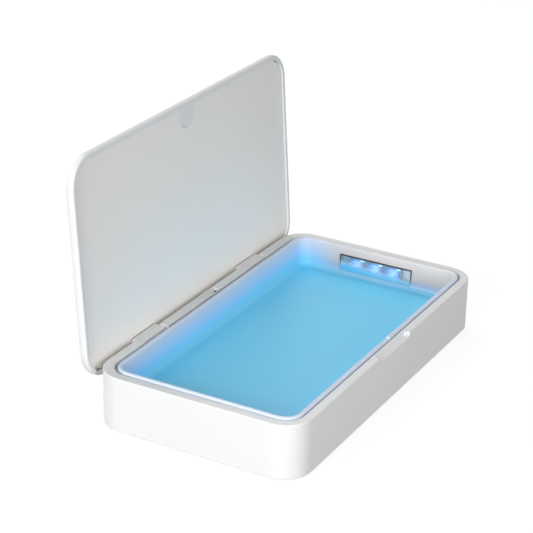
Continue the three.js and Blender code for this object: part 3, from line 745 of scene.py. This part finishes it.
def finger_scoop():
    """What cuts the ramp in the front top edge: a three-sided bar that shrinks in a curve at its ends."""
    clear = 1
    slope = SCOOP_DROP / SCOOP_REACH
    sections = []
    left = [(-x, lift) for x, lift in reversed(SCOOP_ENDS)]
    flat = [(-SCOOP_FLAT_HALF, 0), (SCOOP_FLAT_HALF, 0)]
    for x, lift in left + flat + list(SCOOP_ENDS):
        front = Vector((x, CASE["y0"] - clear, RIM_Z - SCOOP_DROP - clear * slope + lift))
        back = Vector((x, CASE["y0"] + SCOOP_REACH + (clear - lift) / slope, RIM_Z + clear))
        sections.append([front, back, Vector((x, CASE["y0"] - clear, RIM_Z + clear))])
    return loft(sections)


def slanted_place(out):
    """A place this far out of the scoop's ramp, with its z axis square to the ramp."""
    y = CASE["y0"] + SCOOP_REACH / 2 - out * math.sin(SCOOP_LEAN)
    z = RIM_Z - SCOOP_DROP / 2 + out * math.cos(SCOOP_LEAN)
    return Matrix.Translation((INDICATOR_X, y, z)) @ Matrix.Rotation(SCOOP_LEAN, 4, "X")


# %% Channel and hole for the lid sensor
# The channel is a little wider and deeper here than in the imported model, and runs on 3 mm further, to where
# the photograph shows its dark end.
CHANNEL = {"x0": -11.5, "x1": 11.6, "y0": 54.2, "y1": 58.2, "depth": 1.5}
SENSOR_HOLE = {"x0": 8.7, "x1": 11.5, "y1": 56.9}


def sensor_channel():
    """The sloped channel in the back rim, and the small hole at its deep end."""
    x0, x1, y0, y1, depth = CHANNEL.values()
    slope = [(x0, RIM_Z), (x1, RIM_Z - depth), (x1, RIM_Z + 1), (x0, RIM_Z + 1)]
    wedge = loft([[Vector((x, y, z)) for x, z in slope] for y in (y1, y0)])
    hole = block(SENSOR_HOLE["x0"], SENSOR_HOLE["x1"], y0, SENSOR_HOLE["y1"], SLAB_Z - 1, RIM_Z)
    return [wedge, hole]


# %% The power socket's outline
SOCKET_X = 72
SOCKET_Z = 7.6
SOCKET_HALF_W = 4.5
SOCKET_HALF_H = 1.65
SOCKET_DEPTH = 8
END_STEPS = 12


def stadium(y, grow):
    """The socket's round-ended outline in the back wall, counter-clockwise seen from the front."""
    radius = SOCKET_HALF_H + grow
    reach = SOCKET_HALF_W - SOCKET_HALF_H
    points = []
    for cx, start in ((reach, -math.pi / 2), (-reach, math.pi / 2)):
        for k in range(END_STEPS + 1):
            turn = start + math.pi * k / END_STEPS
            x, z = SOCKET_X + cx + radius * math.cos(turn), SOCKET_Z + radius * math.sin(turn)
            points.append(Vector((x, y, z)))
    return points


def socket_slot():
    return loft([stadium(CASE["y1"] + 1, FIT), stadium(CASE["y1"] - WALL - 1, FIT)])


# %% The housing with all its cuts
indicator_hole = turned([(1.1, -6), (1.1, 2)], slanted_place(0), 24)
housing = cut(
    join(housing_skin(), *pin_ears(-1), *pin_ears(1)),
    arm_notch(-1),
    arm_notch(1),
    finger_scoop(),
    *sensor_channel(),
    indicator_hole,
    socket_slot(),
)
piece("housing", housing, gloss_abs, "base", ["base_housing"])

# %% [markdown]
# ## The tray
# The tray drops into the rim as one smooth moulding. Its turned-over edge stands a millimetre proud as a
# rounded bead, which catches the light all the way round. The loft climbs the outside, goes over the bead
# and comes down to the floor.

# %% Inner tray
# The block that breaks the bead ends anywhere above it.
GAP_TOOL_TOP = 40
WINDOW_CUT_X = (95, 101)


def tray_skin():
    half = BEAD_WIDTH / 2
    shoulder = BEAD_TOP_Z - 0.9
    wall_top = 4.0
    foot_in = wall_top + FLOOR_FILLET
    fillet_z = TRAY_FLOOR_Z + FLOOR_FILLET
    under = quarter_round(3.2, fillet_z + 0.6, foot_in, TRAY_FLOOR_Z - TRAY_SKIN, 6)[::-1]
    outside = under + [(half, BEAD_FOOT_Z), (0, BEAD_FOOT_Z)]
    outside += quarter_round(0, shoulder, half, BEAD_TOP_Z, 6)
    over = quarter_round(0, shoulder, half, BEAD_TOP_Z, 6)[-2::-1]
    inside = [(BEAD_WIDTH - inset, z) for inset, z in over]
    inside += [(BEAD_WIDTH + 0.12, shoulder - 0.8), (BEAD_WIDTH + 0.3, BEAD_FOOT_Z)]
    inside += quarter_round(wall_top, fillet_z, foot_in, TRAY_FLOOR_Z, 10)
    return loft(rings_on(TRAY, outside + inside))


gap_y = (TRAY["y0"] - 1, TRAY["y0"] + BEAD_WIDTH + 0.6)
bead_gap = block(-BEAD_GAP_HALF, BEAD_GAP_HALF, *gap_y, RIM_Z + 0.1, GAP_TOOL_TOP)
half_hole = WINDOW_HALF_Y + WINDOW_GAP
window_hole = block(*WINDOW_CUT_X, -half_hole, half_hole, WINDOW_LOW - WINDOW_GAP, WINDOW_HIGH + WINDOW_GAP)
piece("tray", cut(tray_skin(), bead_gap, window_hole), tray_with_painted_glow, "base", ["inner_tray"])

# %% [markdown]
# ## The bottom cover
# The cover closes the case from below, set in behind the wall's lower edge. Its underside has the shallow
# bare field that such covers have, and a sunk hole for each screw.

# %% Bottom cover
COVER_TOP = 1.8
COVER_EDGE = 0.3
FIELD_DEPTH = 0.3
SCREW_INSET = 8.2
SCREW_HOLE = ((2.6, -1), (2.6, 1.1), (1.4, 1.1), (1.4, 4))

inset = WALL + FIT
middle = COVER_EDGE * MIDWAY
cover_levels = [(inset + COVER_EDGE, 0), (inset + middle, middle), (inset, COVER_EDGE), (inset, COVER_TOP)]
field = outline(34, -17, 17, 3)
screw_holes = []
for sx in (-1, 1):
    for sy in (-1, 1):
        place = Matrix.Translation((sx * (CASE["x"] - SCREW_INSET), sy * (CASE["y1"] - SCREW_INSET), 0))
        screw_holes.append(turned(SCREW_HOLE, place, 32))
bare_field = loft(rings_on(field, [(0, -1), (0, FIELD_DEPTH)]))
cover = cut(loft(rings_on(CASE, cover_levels)), bare_field, *screw_holes)
piece("underside_cover", cover, matte_cover, "base", ["bottom_cover"])

# %% [markdown]
# ## Copies with Geometry Nodes
# Feet, lamps, their cups, the glowing pads that are painted glints and socket contacts each repeat on a plain
# grid. One small node tree does them all: a line of points is copied along a second line, a source shape is
# put on each point, and the result is made real and given its material. The tree's result is turned to a
# plain mesh, so nothing is left to work out later.

# %% A tree that sets copies out on a grid


def copies_tree():
    tree = bpy.data.node_groups.new("copies_on_a_grid", "GeometryNodeTree")
    kinds = {"Source": "Object", "Columns": "Int", "Rows": "Int", "Start": "Vector"}
    kinds |= {"Column Step": "Vector", "Row Step": "Vector", "Material": "Material"}
    for name, kind in kinds.items():
        tree.interface.new_socket(name, in_out="INPUT", socket_type="NodeSocket" + kind)
    tree.interface.new_socket("Copies", in_out="OUTPUT", socket_type="NodeSocketGeometry")
    asked = add(tree, "NodeGroupInput").outputs

    def on_points(points, shape):
        placed = add(tree, "GeometryNodeInstanceOnPoints", {"Points": points, "Instance": shape})
        real = add(tree, "GeometryNodeRealizeInstances", {"Geometry": placed.outputs["Instances"]})
        return real.outputs["Geometry"]

    along = {"Count": asked["Columns"], "Start Location": asked["Start"], "Offset": asked["Column Step"]}
    columns = add(tree, "GeometryNodeMeshLine", along)
    rows = add(tree, "GeometryNodeMeshLine", {"Count": asked["Rows"], "Offset": asked["Row Step"]})
    source = add(tree, "GeometryNodeObjectInfo", {"Object": asked["Source"]})
    grid = on_points(columns.outputs["Mesh"], rows.outputs["Mesh"])
    copies = on_points(grid, source.outputs["Geometry"])
    finish = {"Geometry": copies, "Material": asked["Material"]}
    add(tree, "NodeGroupOutput", {"Copies": add(tree, "GeometryNodeSetMaterial", finish).outputs["Geometry"]})
    return tree


COPIES = copies_tree()
print("copies are set out by", len(COPIES.nodes), "nodes")


def set_out(name, skin, counts, start, steps, material, slot, nodes=()):
    """Copies of a skin on a grid in the base. Counts and steps, in millimetres, are for columns and rows."""
    source = as_object(skin, name + "_source")
    source.data.shade_smooth()
    source.data.set_sharp_from_angle(angle=SHARP_ANGLE)
    made = as_object(bmesh.new(), name)
    grower = made.modifiers.new("copies", "NODES")
    grower.node_group = COPIES
    inputs = [socket for socket in COPIES.interface.items_tree if socket.in_out == "INPUT"]
    for socket, value in zip(inputs, (source, *counts, start, *steps, material)):
        grower[socket.identifier] = value
    work_in(made)
    made.data.transform(PLACE_BASE)
    drop(source)
    hand_over(made, "base", nodes)
    print(f"{name}: {len(made.data.polygons)} faces in {counts[0] * counts[1]} copies")


# %% [markdown]
# ## The feet
# Each foot is a rubber disc with a rounded lower edge and a ring-shaped groove that lets it flex and grip.

# %% Feet
FOOT_R = 5.9
FOOT_H = 1.5
FOOT_INSET = 10.5

foot_profile = [(0, -FOOT_H + 0.25), (3.6, -FOOT_H + 0.25), (3.9, -FOOT_H), (FOOT_R - 0.5, -FOOT_H)]
foot_profile += [(FOOT_R - 0.18, -FOOT_H + 0.14), (FOOT_R, -FOOT_H + 0.5), (FOOT_R, -0.05), (0, -0.05)]
foot_x = CASE["x"] - FOOT_INSET
foot_y = CASE["y1"] - FOOT_INSET
set_out(
    "rubber_feet",
    turned(foot_profile, Matrix.Identity(4), 40),
    counts=(2, 2),
    start=(-foot_x, -foot_y, 0),
    steps=((2 * foot_x, 0, 0), (0, 2 * foot_y, 0)),
    material=foot_rubber,
    slot="foot_rubber",
    nodes=[f"foot_{y}_{x}" for y in ("front", "back") for x in ("left", "right")],
)

# %% [markdown]
# ## The lamp window
# Behind the window three lamps stand in square mirrored cups. The cups are the insides of flared four-sided
# funnels, with a painted glow round each lamp. The window's frame is a slim dark line that also stands in for
# the shadowed gap round the window, as painted shade; it is easiest to see along the top and at the near end,
# because the tray's glow is painted over its foot.

# %% Reflector cups and lamps
CUP_FRONT_X = WINDOW_X + 1.7
CUP_BACK_X = CUP_FRONT_X + 2.9
LAMP_COUNT = 3


def square_ring(x, half_y, half_z, z=0):
    return [Vector((x, sy * half_y, z + sz * half_z)) for sy, sz in ((-1, -1), (1, -1), (1, 1), (-1, 1))]


def reflector_cup():
    """A block that a flared funnel is cut from, drawn about the lamp's centre."""
    rise = WINDOW_MID_Z - LAMP_Z
    body = loft([square_ring(CUP_FRONT_X, 5.8, 4.5, rise), square_ring(CUP_BACK_X, 5.8, 4.5, rise)])
    flare = loft(
        [
            square_ring(CUP_FRONT_X - 0.1, 5.5, 4.15, rise),
            square_ring(CUP_FRONT_X + 1.3, 3.6, 3.1, rise / 2),
            square_ring(CUP_BACK_X + 0.1, 2.2, 2.2),
        ]
    )
    return cut(body, flare)


row = {"counts": (LAMP_COUNT, 1), "steps": ((0, LAMP_PITCH, 0), (0, 0, 0))}
first_lamp = (0, LAMP_ROW_Y - LAMP_PITCH, LAMP_Z)
set_out(
    "reflector_cups",
    reflector_cup(),
    start=first_lamp,
    material=cup_with_painted_glow,
    nodes=["lamp_reflector"],
    slot="reflector_mirror",
    **row,
)


DOME_R = 1.6


def dome_skin():
    """A lamp's dome on its round collar, facing the window."""
    turns = [math.pi / 2 * k / 8 for k in range(9)]
    profile = [(1.8, 0), (1.8, 0.5), (DOME_R, 0.55)]
    profile += [(DOME_R * math.cos(t), 2.2 + DOME_R * math.sin(t)) for t in turns]
    face_window = Matrix.Translation((CUP_BACK_X + 0.7, 0, 0)) @ Matrix.Rotation(-math.pi / 2, 4, "Y")
    return turned(profile, face_window, 32)


set_out(
    "lamp_domes",
    dome_skin(),
    start=first_lamp,
    material=lamp_dome,
    nodes=["uv_lamp_1", "uv_lamp_2", "uv_lamp_3"],
    slot="uv_lamp",
    **row,
)

# %% Pads that glow along the window's top edge: painted glints of the lamps' light
# How far a pad stands from its lamp, across the case, and over the window's middle.
PAD_SHIFT = 4.7
PAD_RISE = 3

pad = block(CUP_FRONT_X - 0.45, CUP_FRONT_X - 0.1, -1.2, 1.2, -0.4, 0.4)
set_out(
    "lit_pads",
    pad,
    start=(0, LAMP_ROW_Y - LAMP_PITCH - PAD_SHIFT, WINDOW_MID_Z + PAD_RISE),
    material=glint_pad_glow,
    slot="uv_lamp",
    **row,
)

# %% Window frame and pane
FRAME_LINE = 0.35
FRAME_SILL = 0.12


def window_frame():
    """A slim rectangular frame with a rounded front edge, and a thinner sill along its foot."""
    rings = []
    for share, x in ((0, 1.4), (0, 0.1), (0.2, 0), (0.8, 0), (1, 0.1), (1, 1.4)):
        half_y = WINDOW_HALF_Y - share * FRAME_LINE
        low = WINDOW_LOW + share * FRAME_SILL
        high = WINDOW_HIGH - share * FRAME_LINE
        rings.append(square_ring(WINDOW_X + x, half_y, (high - low) / 2, (high + low) / 2))
    return facing_out(loft(rings, True))


def pane_skin():
    """The clear pane inside the frame, with its edges broken."""
    low = WINDOW_LOW + FRAME_SILL
    high = WINDOW_HIGH - FRAME_LINE
    half_y = WINDOW_HALF_Y - FRAME_LINE
    levels = ((0.25, 0.1), (0.35, 0), (1.0, 0), (1.1, 0.1))
    half_z = (high - low) / 2
    return loft([square_ring(WINDOW_X + x, half_y - e, half_z - e, (high + low) / 2) for x, e in levels])


# The frame's dark is partly painted shade of the gap round the window.
piece("window_frame", window_frame(), window_frame_shade_and_glow, "base", ["window_bezel"])
piece("window_pane", pane_skin(), window_clear, "base", ["uv_window"])

# %% [markdown]
# ## The power socket
# A rolled steel sleeve with round ends, open to the back, with a dark tongue inside that carries two rows
# of gold contacts.

# %% Power socket


def socket_sleeve():
    back = CASE["y1"] - 0.4
    front = back - SOCKET_DEPTH
    wall = 0.35
    levels = [(back - 0.1, 0), (front, 0), (front, -1.2), (front + 0.9, -1.2), (front + 0.9, -wall)]
    levels += [(back - 0.1, -wall), (back, -wall + 0.1), (back, -0.1)]
    return facing_out(loft([stadium(y, grow) for y, grow in levels], True))


piece("socket_sleeve", socket_sleeve(), drawn_steel, "base", ["power_socket"])

# %% Socket tongue and contacts
TONGUE_HALF_X = 3.3
TONGUE_HALF_Z = 0.35
TONGUE_LENGTH = 6
CONTACTS = 12
CONTACT_PITCH = 0.5
CONTACT_RISE = 0.37

tongue_back = CASE["y1"] - 1.4
tongue_x = (SOCKET_X - TONGUE_HALF_X, SOCKET_X + TONGUE_HALF_X)
tongue_z = (SOCKET_Z - TONGUE_HALF_Z, SOCKET_Z + TONGUE_HALF_Z)
tongue = block(*tongue_x, tongue_back - TONGUE_LENGTH, tongue_back, *tongue_z)
piece("socket_tongue", tongue, dark_plastic, "base")
set_out(
    "socket_contacts",
    block(-0.13, 0.13, -2, 2, -0.03, 0.03),
    counts=(CONTACTS, 2),
    start=(SOCKET_X - CONTACT_PITCH * (CONTACTS - 1) / 2, tongue_back - 2.4, SOCKET_Z - CONTACT_RISE),
    steps=((CONTACT_PITCH, 0, 0), (0, 0, 2 * CONTACT_RISE)),
    material=gold_contact,
    slot="steel",
)

# %% [markdown]
# ## The indicator
# A small pale dome that glows, at the right end of the finger scoop, square to its ramp.

# %% Indicator lens
INDICATOR_PROUD = 0.65

lens_profile = [(0.8, -5), (0.8, -0.5), (0.77, -0.33), (0.68, -0.18), (0.5, -0.07), (0.25, -0.01), (0, 0)]
lens = turned(lens_profile, slanted_place(INDICATOR_PROUD), 32)
piece("indicator_lens", lens, indicator_dome, "base", ["indicator_lamp"])

# %% [markdown]
# ## The lid sensor
# A dark block in the hole at the deep end of the back rim's channel, its top nearly level with the
# channel's floor. It is the lid sensor, and its dark also stands in for the shade in the hole, as painted
# shade.

# %% Lid sensor
SENSOR_GAP = 0.15
SENSOR_Z = (21.5, 27.75)

sensor_x = (SENSOR_HOLE["x0"] + SENSOR_GAP, SENSOR_HOLE["x1"] - SENSOR_GAP)
sensor_y = (CHANNEL["y0"] + SENSOR_GAP, SENSOR_HOLE["y1"] - SENSOR_GAP)
sensor = block(*sensor_x, *sensor_y, *SENSOR_Z)
# The sensor's dark stands in partly for the shade in its hole: painted shade.
piece("sensor_body", sensor, dark_plastic, "base", ["lid_sensor"])

# %% [markdown]
# ## The lid shell
# The lid is drawn shut. Its loft starts at the seat of the inset panel, comes out over the narrow rim,
# turns up the side and rounds over to the flat outer face. A hollow along the hinge side lets it roll over
# the case's back edge, and a round pocket carries the start button.

# %% The lid's outline, its pocket and room for the arms


def lid_skin():
    seat = LID_Z + PANEL_RECESS + PANEL_THICK + FIT
    lip = 0.2
    levels = [(LID_RIM, seat), (LID_RIM, LID_Z + lip)]
    levels += [(LID_RIM - lip * MIDWAY, LID_Z + lip * MIDWAY), (LID_RIM - lip, LID_Z)]
    levels += quarter_round(0, LID_Z + 1.2, 1.3, LID_Z, 6)[::-1]
    levels += quarter_round(0, LID_TOP_Z - LID_ROUND, LID_ROUND, LID_TOP_Z, 12)
    return loft(rings_on(CASE, levels))


def pocket_skin():
    """The round pocket on the inner face, with a neck that ramps up to the rim."""
    face = LID_Z + POCKET_FACE
    deep = LID_Z + 3.4
    edge = 0.3
    levels = [(face, edge), (face + edge * MIDWAY, edge * MIDWAY), (face + edge, 0), (deep, 0)]
    disc = loft([circle(POCKET_X, POCKET_Y, z, POCKET_R - inset) for z, inset in levels])
    panel_edge = LID_RIM + LID_GROOVE
    disc = boolean(disc, [loft(rings_on(CASE, [(panel_edge, LID_Z), (panel_edge, LID_TOP_Z)]))], "INTERSECT")
    far = CASE["y0"] + 2
    near = CASE["y0"] + 4.9
    slope = [(far, LID_Z), (near, face), (near, deep), (far, deep)]
    return [disc, prism_along_x(slope, -NECK_HALF, NECK_HALF)]


def arm_rooms(back, low, high):
    """Room for both arms in a piece of the lid, as far back as this and between these heights."""
    front = HINGE_Y - ARM_FRONT - FIT
    return [block(*arm_span(side, FIT), front, back, low, high) for side in (-1, 1)]


# %% Lid shell with its hollow, pocket and button well
WELL_DEPTH = 3.9
REBATE = 1
REBATE_DEPTH = 0.8

cove = turned([(COVE_R, -COVE_HALF), (COVE_R, COVE_HALF)], ON_HINGE, 96)
well = loft([circle(POCKET_X, BUTTON_Y, z, WELL_R) for z in (LID_TOP_Z - WELL_DEPTH, LID_TOP_Z + 1)])
rebate_z = (LID_TOP_Z - REBATE_DEPTH, LID_TOP_Z + 1)
rebate = loft([circle(POCKET_X, BUTTON_Y, z, WELL_R + REBATE) for z in rebate_z])
hollowed = cut(lid_skin(), cove, *arm_rooms(CASE["y1"] + 1, LID_Z - 1, LID_Z + PANEL_RECESS + FIT))
shell = cut(join(hollowed, *pocket_skin()), well, rebate)
piece("lid_casing", shell, gloss_abs, "lid", ["lid_shell"])

# %% [markdown]
# ## The lid's inner panel
# A satin plate set into the lid, a little below its rim, with a fine groove all round it and round the
# pocket.

# %% Lid panel


def panel_skin():
    face = LID_Z + PANEL_RECESS
    inset = LID_RIM + LID_GROOVE
    edge = 0.25
    levels = [(inset + edge, face), (inset + edge * MIDWAY, face + edge * MIDWAY), (inset, face + edge)]
    plate = loft(rings_on(CASE, levels + [(inset, face + PANEL_THICK)]))
    hole = loft([circle(POCKET_X, POCKET_Y, z, POCKET_R + FIT) for z in (LID_Z, LID_TOP_Z)])
    return cut(plate, hole, *arm_rooms(CASE["y1"], LID_Z, LID_TOP_Z))


piece("inner_panel", panel_skin(), satin_panel, "lid", ["lid_panel"])

# %% [markdown]
# ## The hinge arms
# Each arm is a bar with a round heel about its pin. Stood open, its front face lies level with the rim and
# fills the notch, which is what shows in the photograph.

# %% Hinge arms
CORNER_ARC_STEPS = 6
HEEL_ARC_STEPS = 16
BORE_R = 1.8


def arc(y, z, radius, start, end, steps):
    """Points along an arc in the (y, z) plane, from one turn to another."""
    turns = [start + (end - start) * k / steps for k in range(steps + 1)]
    return [(y + radius * math.cos(turn), z + radius * math.sin(turn)) for turn in turns]


def arm_skin(side):
    x0, x1 = arm_span(side)
    top = LID_Z + PANEL_RECESS
    corner = 0.7
    heel_start = math.pi + math.asin(ARM_DROP / ARM_REAR)
    corner_y, corner_z = HINGE_Y - ARM_FRONT + corner, HINGE_Z - ARM_DROP + corner
    section = [(HINGE_Y + ARM_REAR, top), (HINGE_Y - ARM_FRONT, top)]
    section += arc(corner_y, corner_z, corner, math.pi, 1.5 * math.pi, CORNER_ARC_STEPS)
    section += arc(HINGE_Y, HINGE_Z, ARM_REAR, heel_start, 2 * math.pi, HEEL_ARC_STEPS)
    rings = []
    edge = 0.25
    middle = Vector((0, HINGE_Y, HINGE_Z + 1))
    slices = ((x0, edge), (x0 + edge * MIDWAY, edge * MIDWAY), (x0 + edge, 0), (x1 - edge, 0), (x1, edge))
    for x, shrink in slices:
        rings.append([])
        for y, z in section:
            towards = Vector((0, y, z)) - middle
            point = middle + towards * (1 - shrink / towards.length)
            rings[-1].append(Vector((x, point.y, point.z)))
    return cut(facing_out(loft(rings)), turned([(BORE_R, x0 - 1), (BORE_R, x1 + 1)], ON_HINGE, 32))


for side, name in ((-1, "left"), (1, "right")):
    piece(f"arm_{name}", arm_skin(side), gloss_abs, "lid", [f"hinge_arm_{name}"])

# %% [markdown]
# ## The start button
# A round cap with a slightly dished top and a fine ring, inside a plated bezel. The cap is its own body,
# because it travels into the lid when pressed.

# %% Start button
FLANGE_R = WELL_R - FIT
BUTTON_SIDES = 64

top = BUTTON_PROUD
cap_profile = [(0, -1.6), (FLANGE_R, -1.6), (FLANGE_R, -0.8), (BUTTON_R, -0.8), (BUTTON_R, top - 0.3)]
cap_profile += [(BUTTON_R - 0.09, top - 0.09), (BUTTON_R - 0.3, top), (2.35, top - 0.06)]
cap_profile += [(2.28, top - 0.16), (2.02, top - 0.16), (1.95, top - 0.08)]
cap_profile += [(0.9, top - 0.15), (0, top - 0.17)]
cap_profile = [(r, LID_TOP_Z + z) for r, z in cap_profile]
cap = facing_out(turned(cap_profile, Matrix.Translation((POCKET_X, BUTTON_Y, 0)), BUTTON_SIDES))
piece("button_cap", cap, button_cap, "button", ["start_button"])

# %% The button's bezel
ring_in = BUTTON_R + FIT
ring_out = WELL_R + REBATE - FIT
bezel_levels = ((ring_in, -0.5), (ring_out, -0.5), (ring_out, 0.0), (ring_out - 0.15, 0.15))
bezel_levels += ((ring_in + 0.2, 0.15), (ring_in, -0.05))
bezel_rings = [circle(POCKET_X, BUTTON_Y, LID_TOP_Z + z, r, BUTTON_SIDES) for r, z in bezel_levels]
piece("button_ring", facing_out(loft(bezel_rings, True)), bright_ring, "lid", ["button_bezel"])

# %% [markdown]
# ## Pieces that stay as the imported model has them
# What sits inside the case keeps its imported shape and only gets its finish: pins, screws, magnets, boards,
# chips and leads.

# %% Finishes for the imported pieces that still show
KEPT = (
    (drawn_steel, ("hinge_pin", "cover_screw")),
    (nickel_plate, ("base_magnet", "lid_magnet")),
    (board_green, ("main_board", "switch_board")),
    (board_white, ("lamp_board",)),
    (dark_plastic, ("control_chip",)),
    (lead_rubber, ("lamp_lead", "sensor_lead", "lid_lead")),
)
for name, node in frame["nodes"].items():
    for material, starts in KEPT:
        if name.startswith(starts):
            node.data.materials.clear()
            node.data.materials.append(material)
print("kept nodes:", sum(not node.hide_render for node in frame["nodes"].values()))

# %% [markdown]
# ## Floor and light
# The floor is white to the camera and in reflections, and a plain grey to the light that bounces off it, so
# that the front of the case keeps its soft shade. Four soft lights stand round it. The strongest is to the
# left, because the short end of the case is the brightest face in the photograph. A weaker one in front is
# for the long side, one high up behind is for what faces up, and a low one behind is for the lid's outer
# face.

# %% Floor
FLOOR_BOUNCE = "#343434"
FLOOR_SEEN = "#808080"
FLOOR_LIFT = 0.86
FLOOR_HALF = 4000
FLOOR_THICK = 20


def seen_directly(tree):
    """One for camera, glossy and transmission rays, and nought for the rest."""
    path = add(tree, "ShaderNodeLightPath").outputs
    first = worked(tree, "MAXIMUM", path["Is Camera Ray"], path["Is Glossy Ray"])
    return worked(tree, "MAXIMUM", first, path["Is Transmission Ray"])


def pale_floor():
    material, tree, _ = new_material("pale_floor")
    bounce = add(tree, "ShaderNodeBsdfDiffuse", {"Color": linear(FLOOR_BOUNCE)})
    seen = add(tree, "ShaderNodeBsdfDiffuse", {"Color": linear(FLOOR_SEEN)})
    lift = add(tree, "ShaderNodeEmission", {"Strength": FLOOR_LIFT})
    white = add(tree, "ShaderNodeAddShader", {0: seen.outputs[0], 1: lift.outputs[0]})
    either = {0: seen_directly(tree), 1: bounce.outputs[0], 2: white.outputs[0]}
    mixed = add(tree, "ShaderNodeMixShader", either)
    add(tree, "ShaderNodeOutputMaterial", {"Surface": mixed.outputs[0]})
    return material


floor = as_object(block(-FLOOR_HALF, FLOOR_HALF, -FLOOR_HALF, FLOOR_HALF, -FLOOR_THICK, 0), "floor")
floor.data.transform(Matrix.Diagonal((MM, MM, MM, 1)))
floor.data.materials.append(pale_floor())
print("floor laid")

# %% World and soft lights
SKY_LIGHT = 0.27


def make_world():
    world = bpy.data.worlds.new("plain_studio")
    world.use_nodes = True
    tree = world.node_tree
    tree.nodes.clear()
    strength = ranged(tree, seen_directly(tree), to_ends=(SKY_LIGHT, 1))
    sky = add(tree, "ShaderNodeBackground", {"Strength": strength})
    add(tree, "ShaderNodeOutputWorld", {"Surface": sky.outputs[0]})
    bpy.context.scene.world = world


def soft_light(name, towards, distance, size, level):
    """A square soft light that gives a facing white surface about this level."""
    data = bpy.data.lights.new(name, "AREA")
    data.shape = "SQUARE"
    data.size = size
    data.energy = level * math.pi**2 * distance**2
    lamp = bpy.data.objects.new(name, data)
    lamp.location = Vector(towards).normalized() * distance
    lamp.rotation_mode = "QUATERNION"
    lamp.rotation_quaternion = Vector(towards).to_track_quat("Z", "Y")
    bpy.context.scene.collection.objects.link(lamp)


make_world()
soft_light("left_softbox", (-0.95, 0.06, 0.25), distance=1.2, size=0.7, level=0.93)
soft_light("front_softbox", (-0.4, -0.9, 0.2), distance=0.9, size=0.6, level=0.57)
soft_light("back_softbox", (0.4, 0.45, 0.8), distance=1.4, size=0.8, level=0.33)
soft_light("rear_fill", (0.25, 0.95, 0.16), distance=1.2, size=0.8, level=0.4)
print("lights made")

# %% View settings
bpy.context.scene.view_settings.view_transform = "Standard"
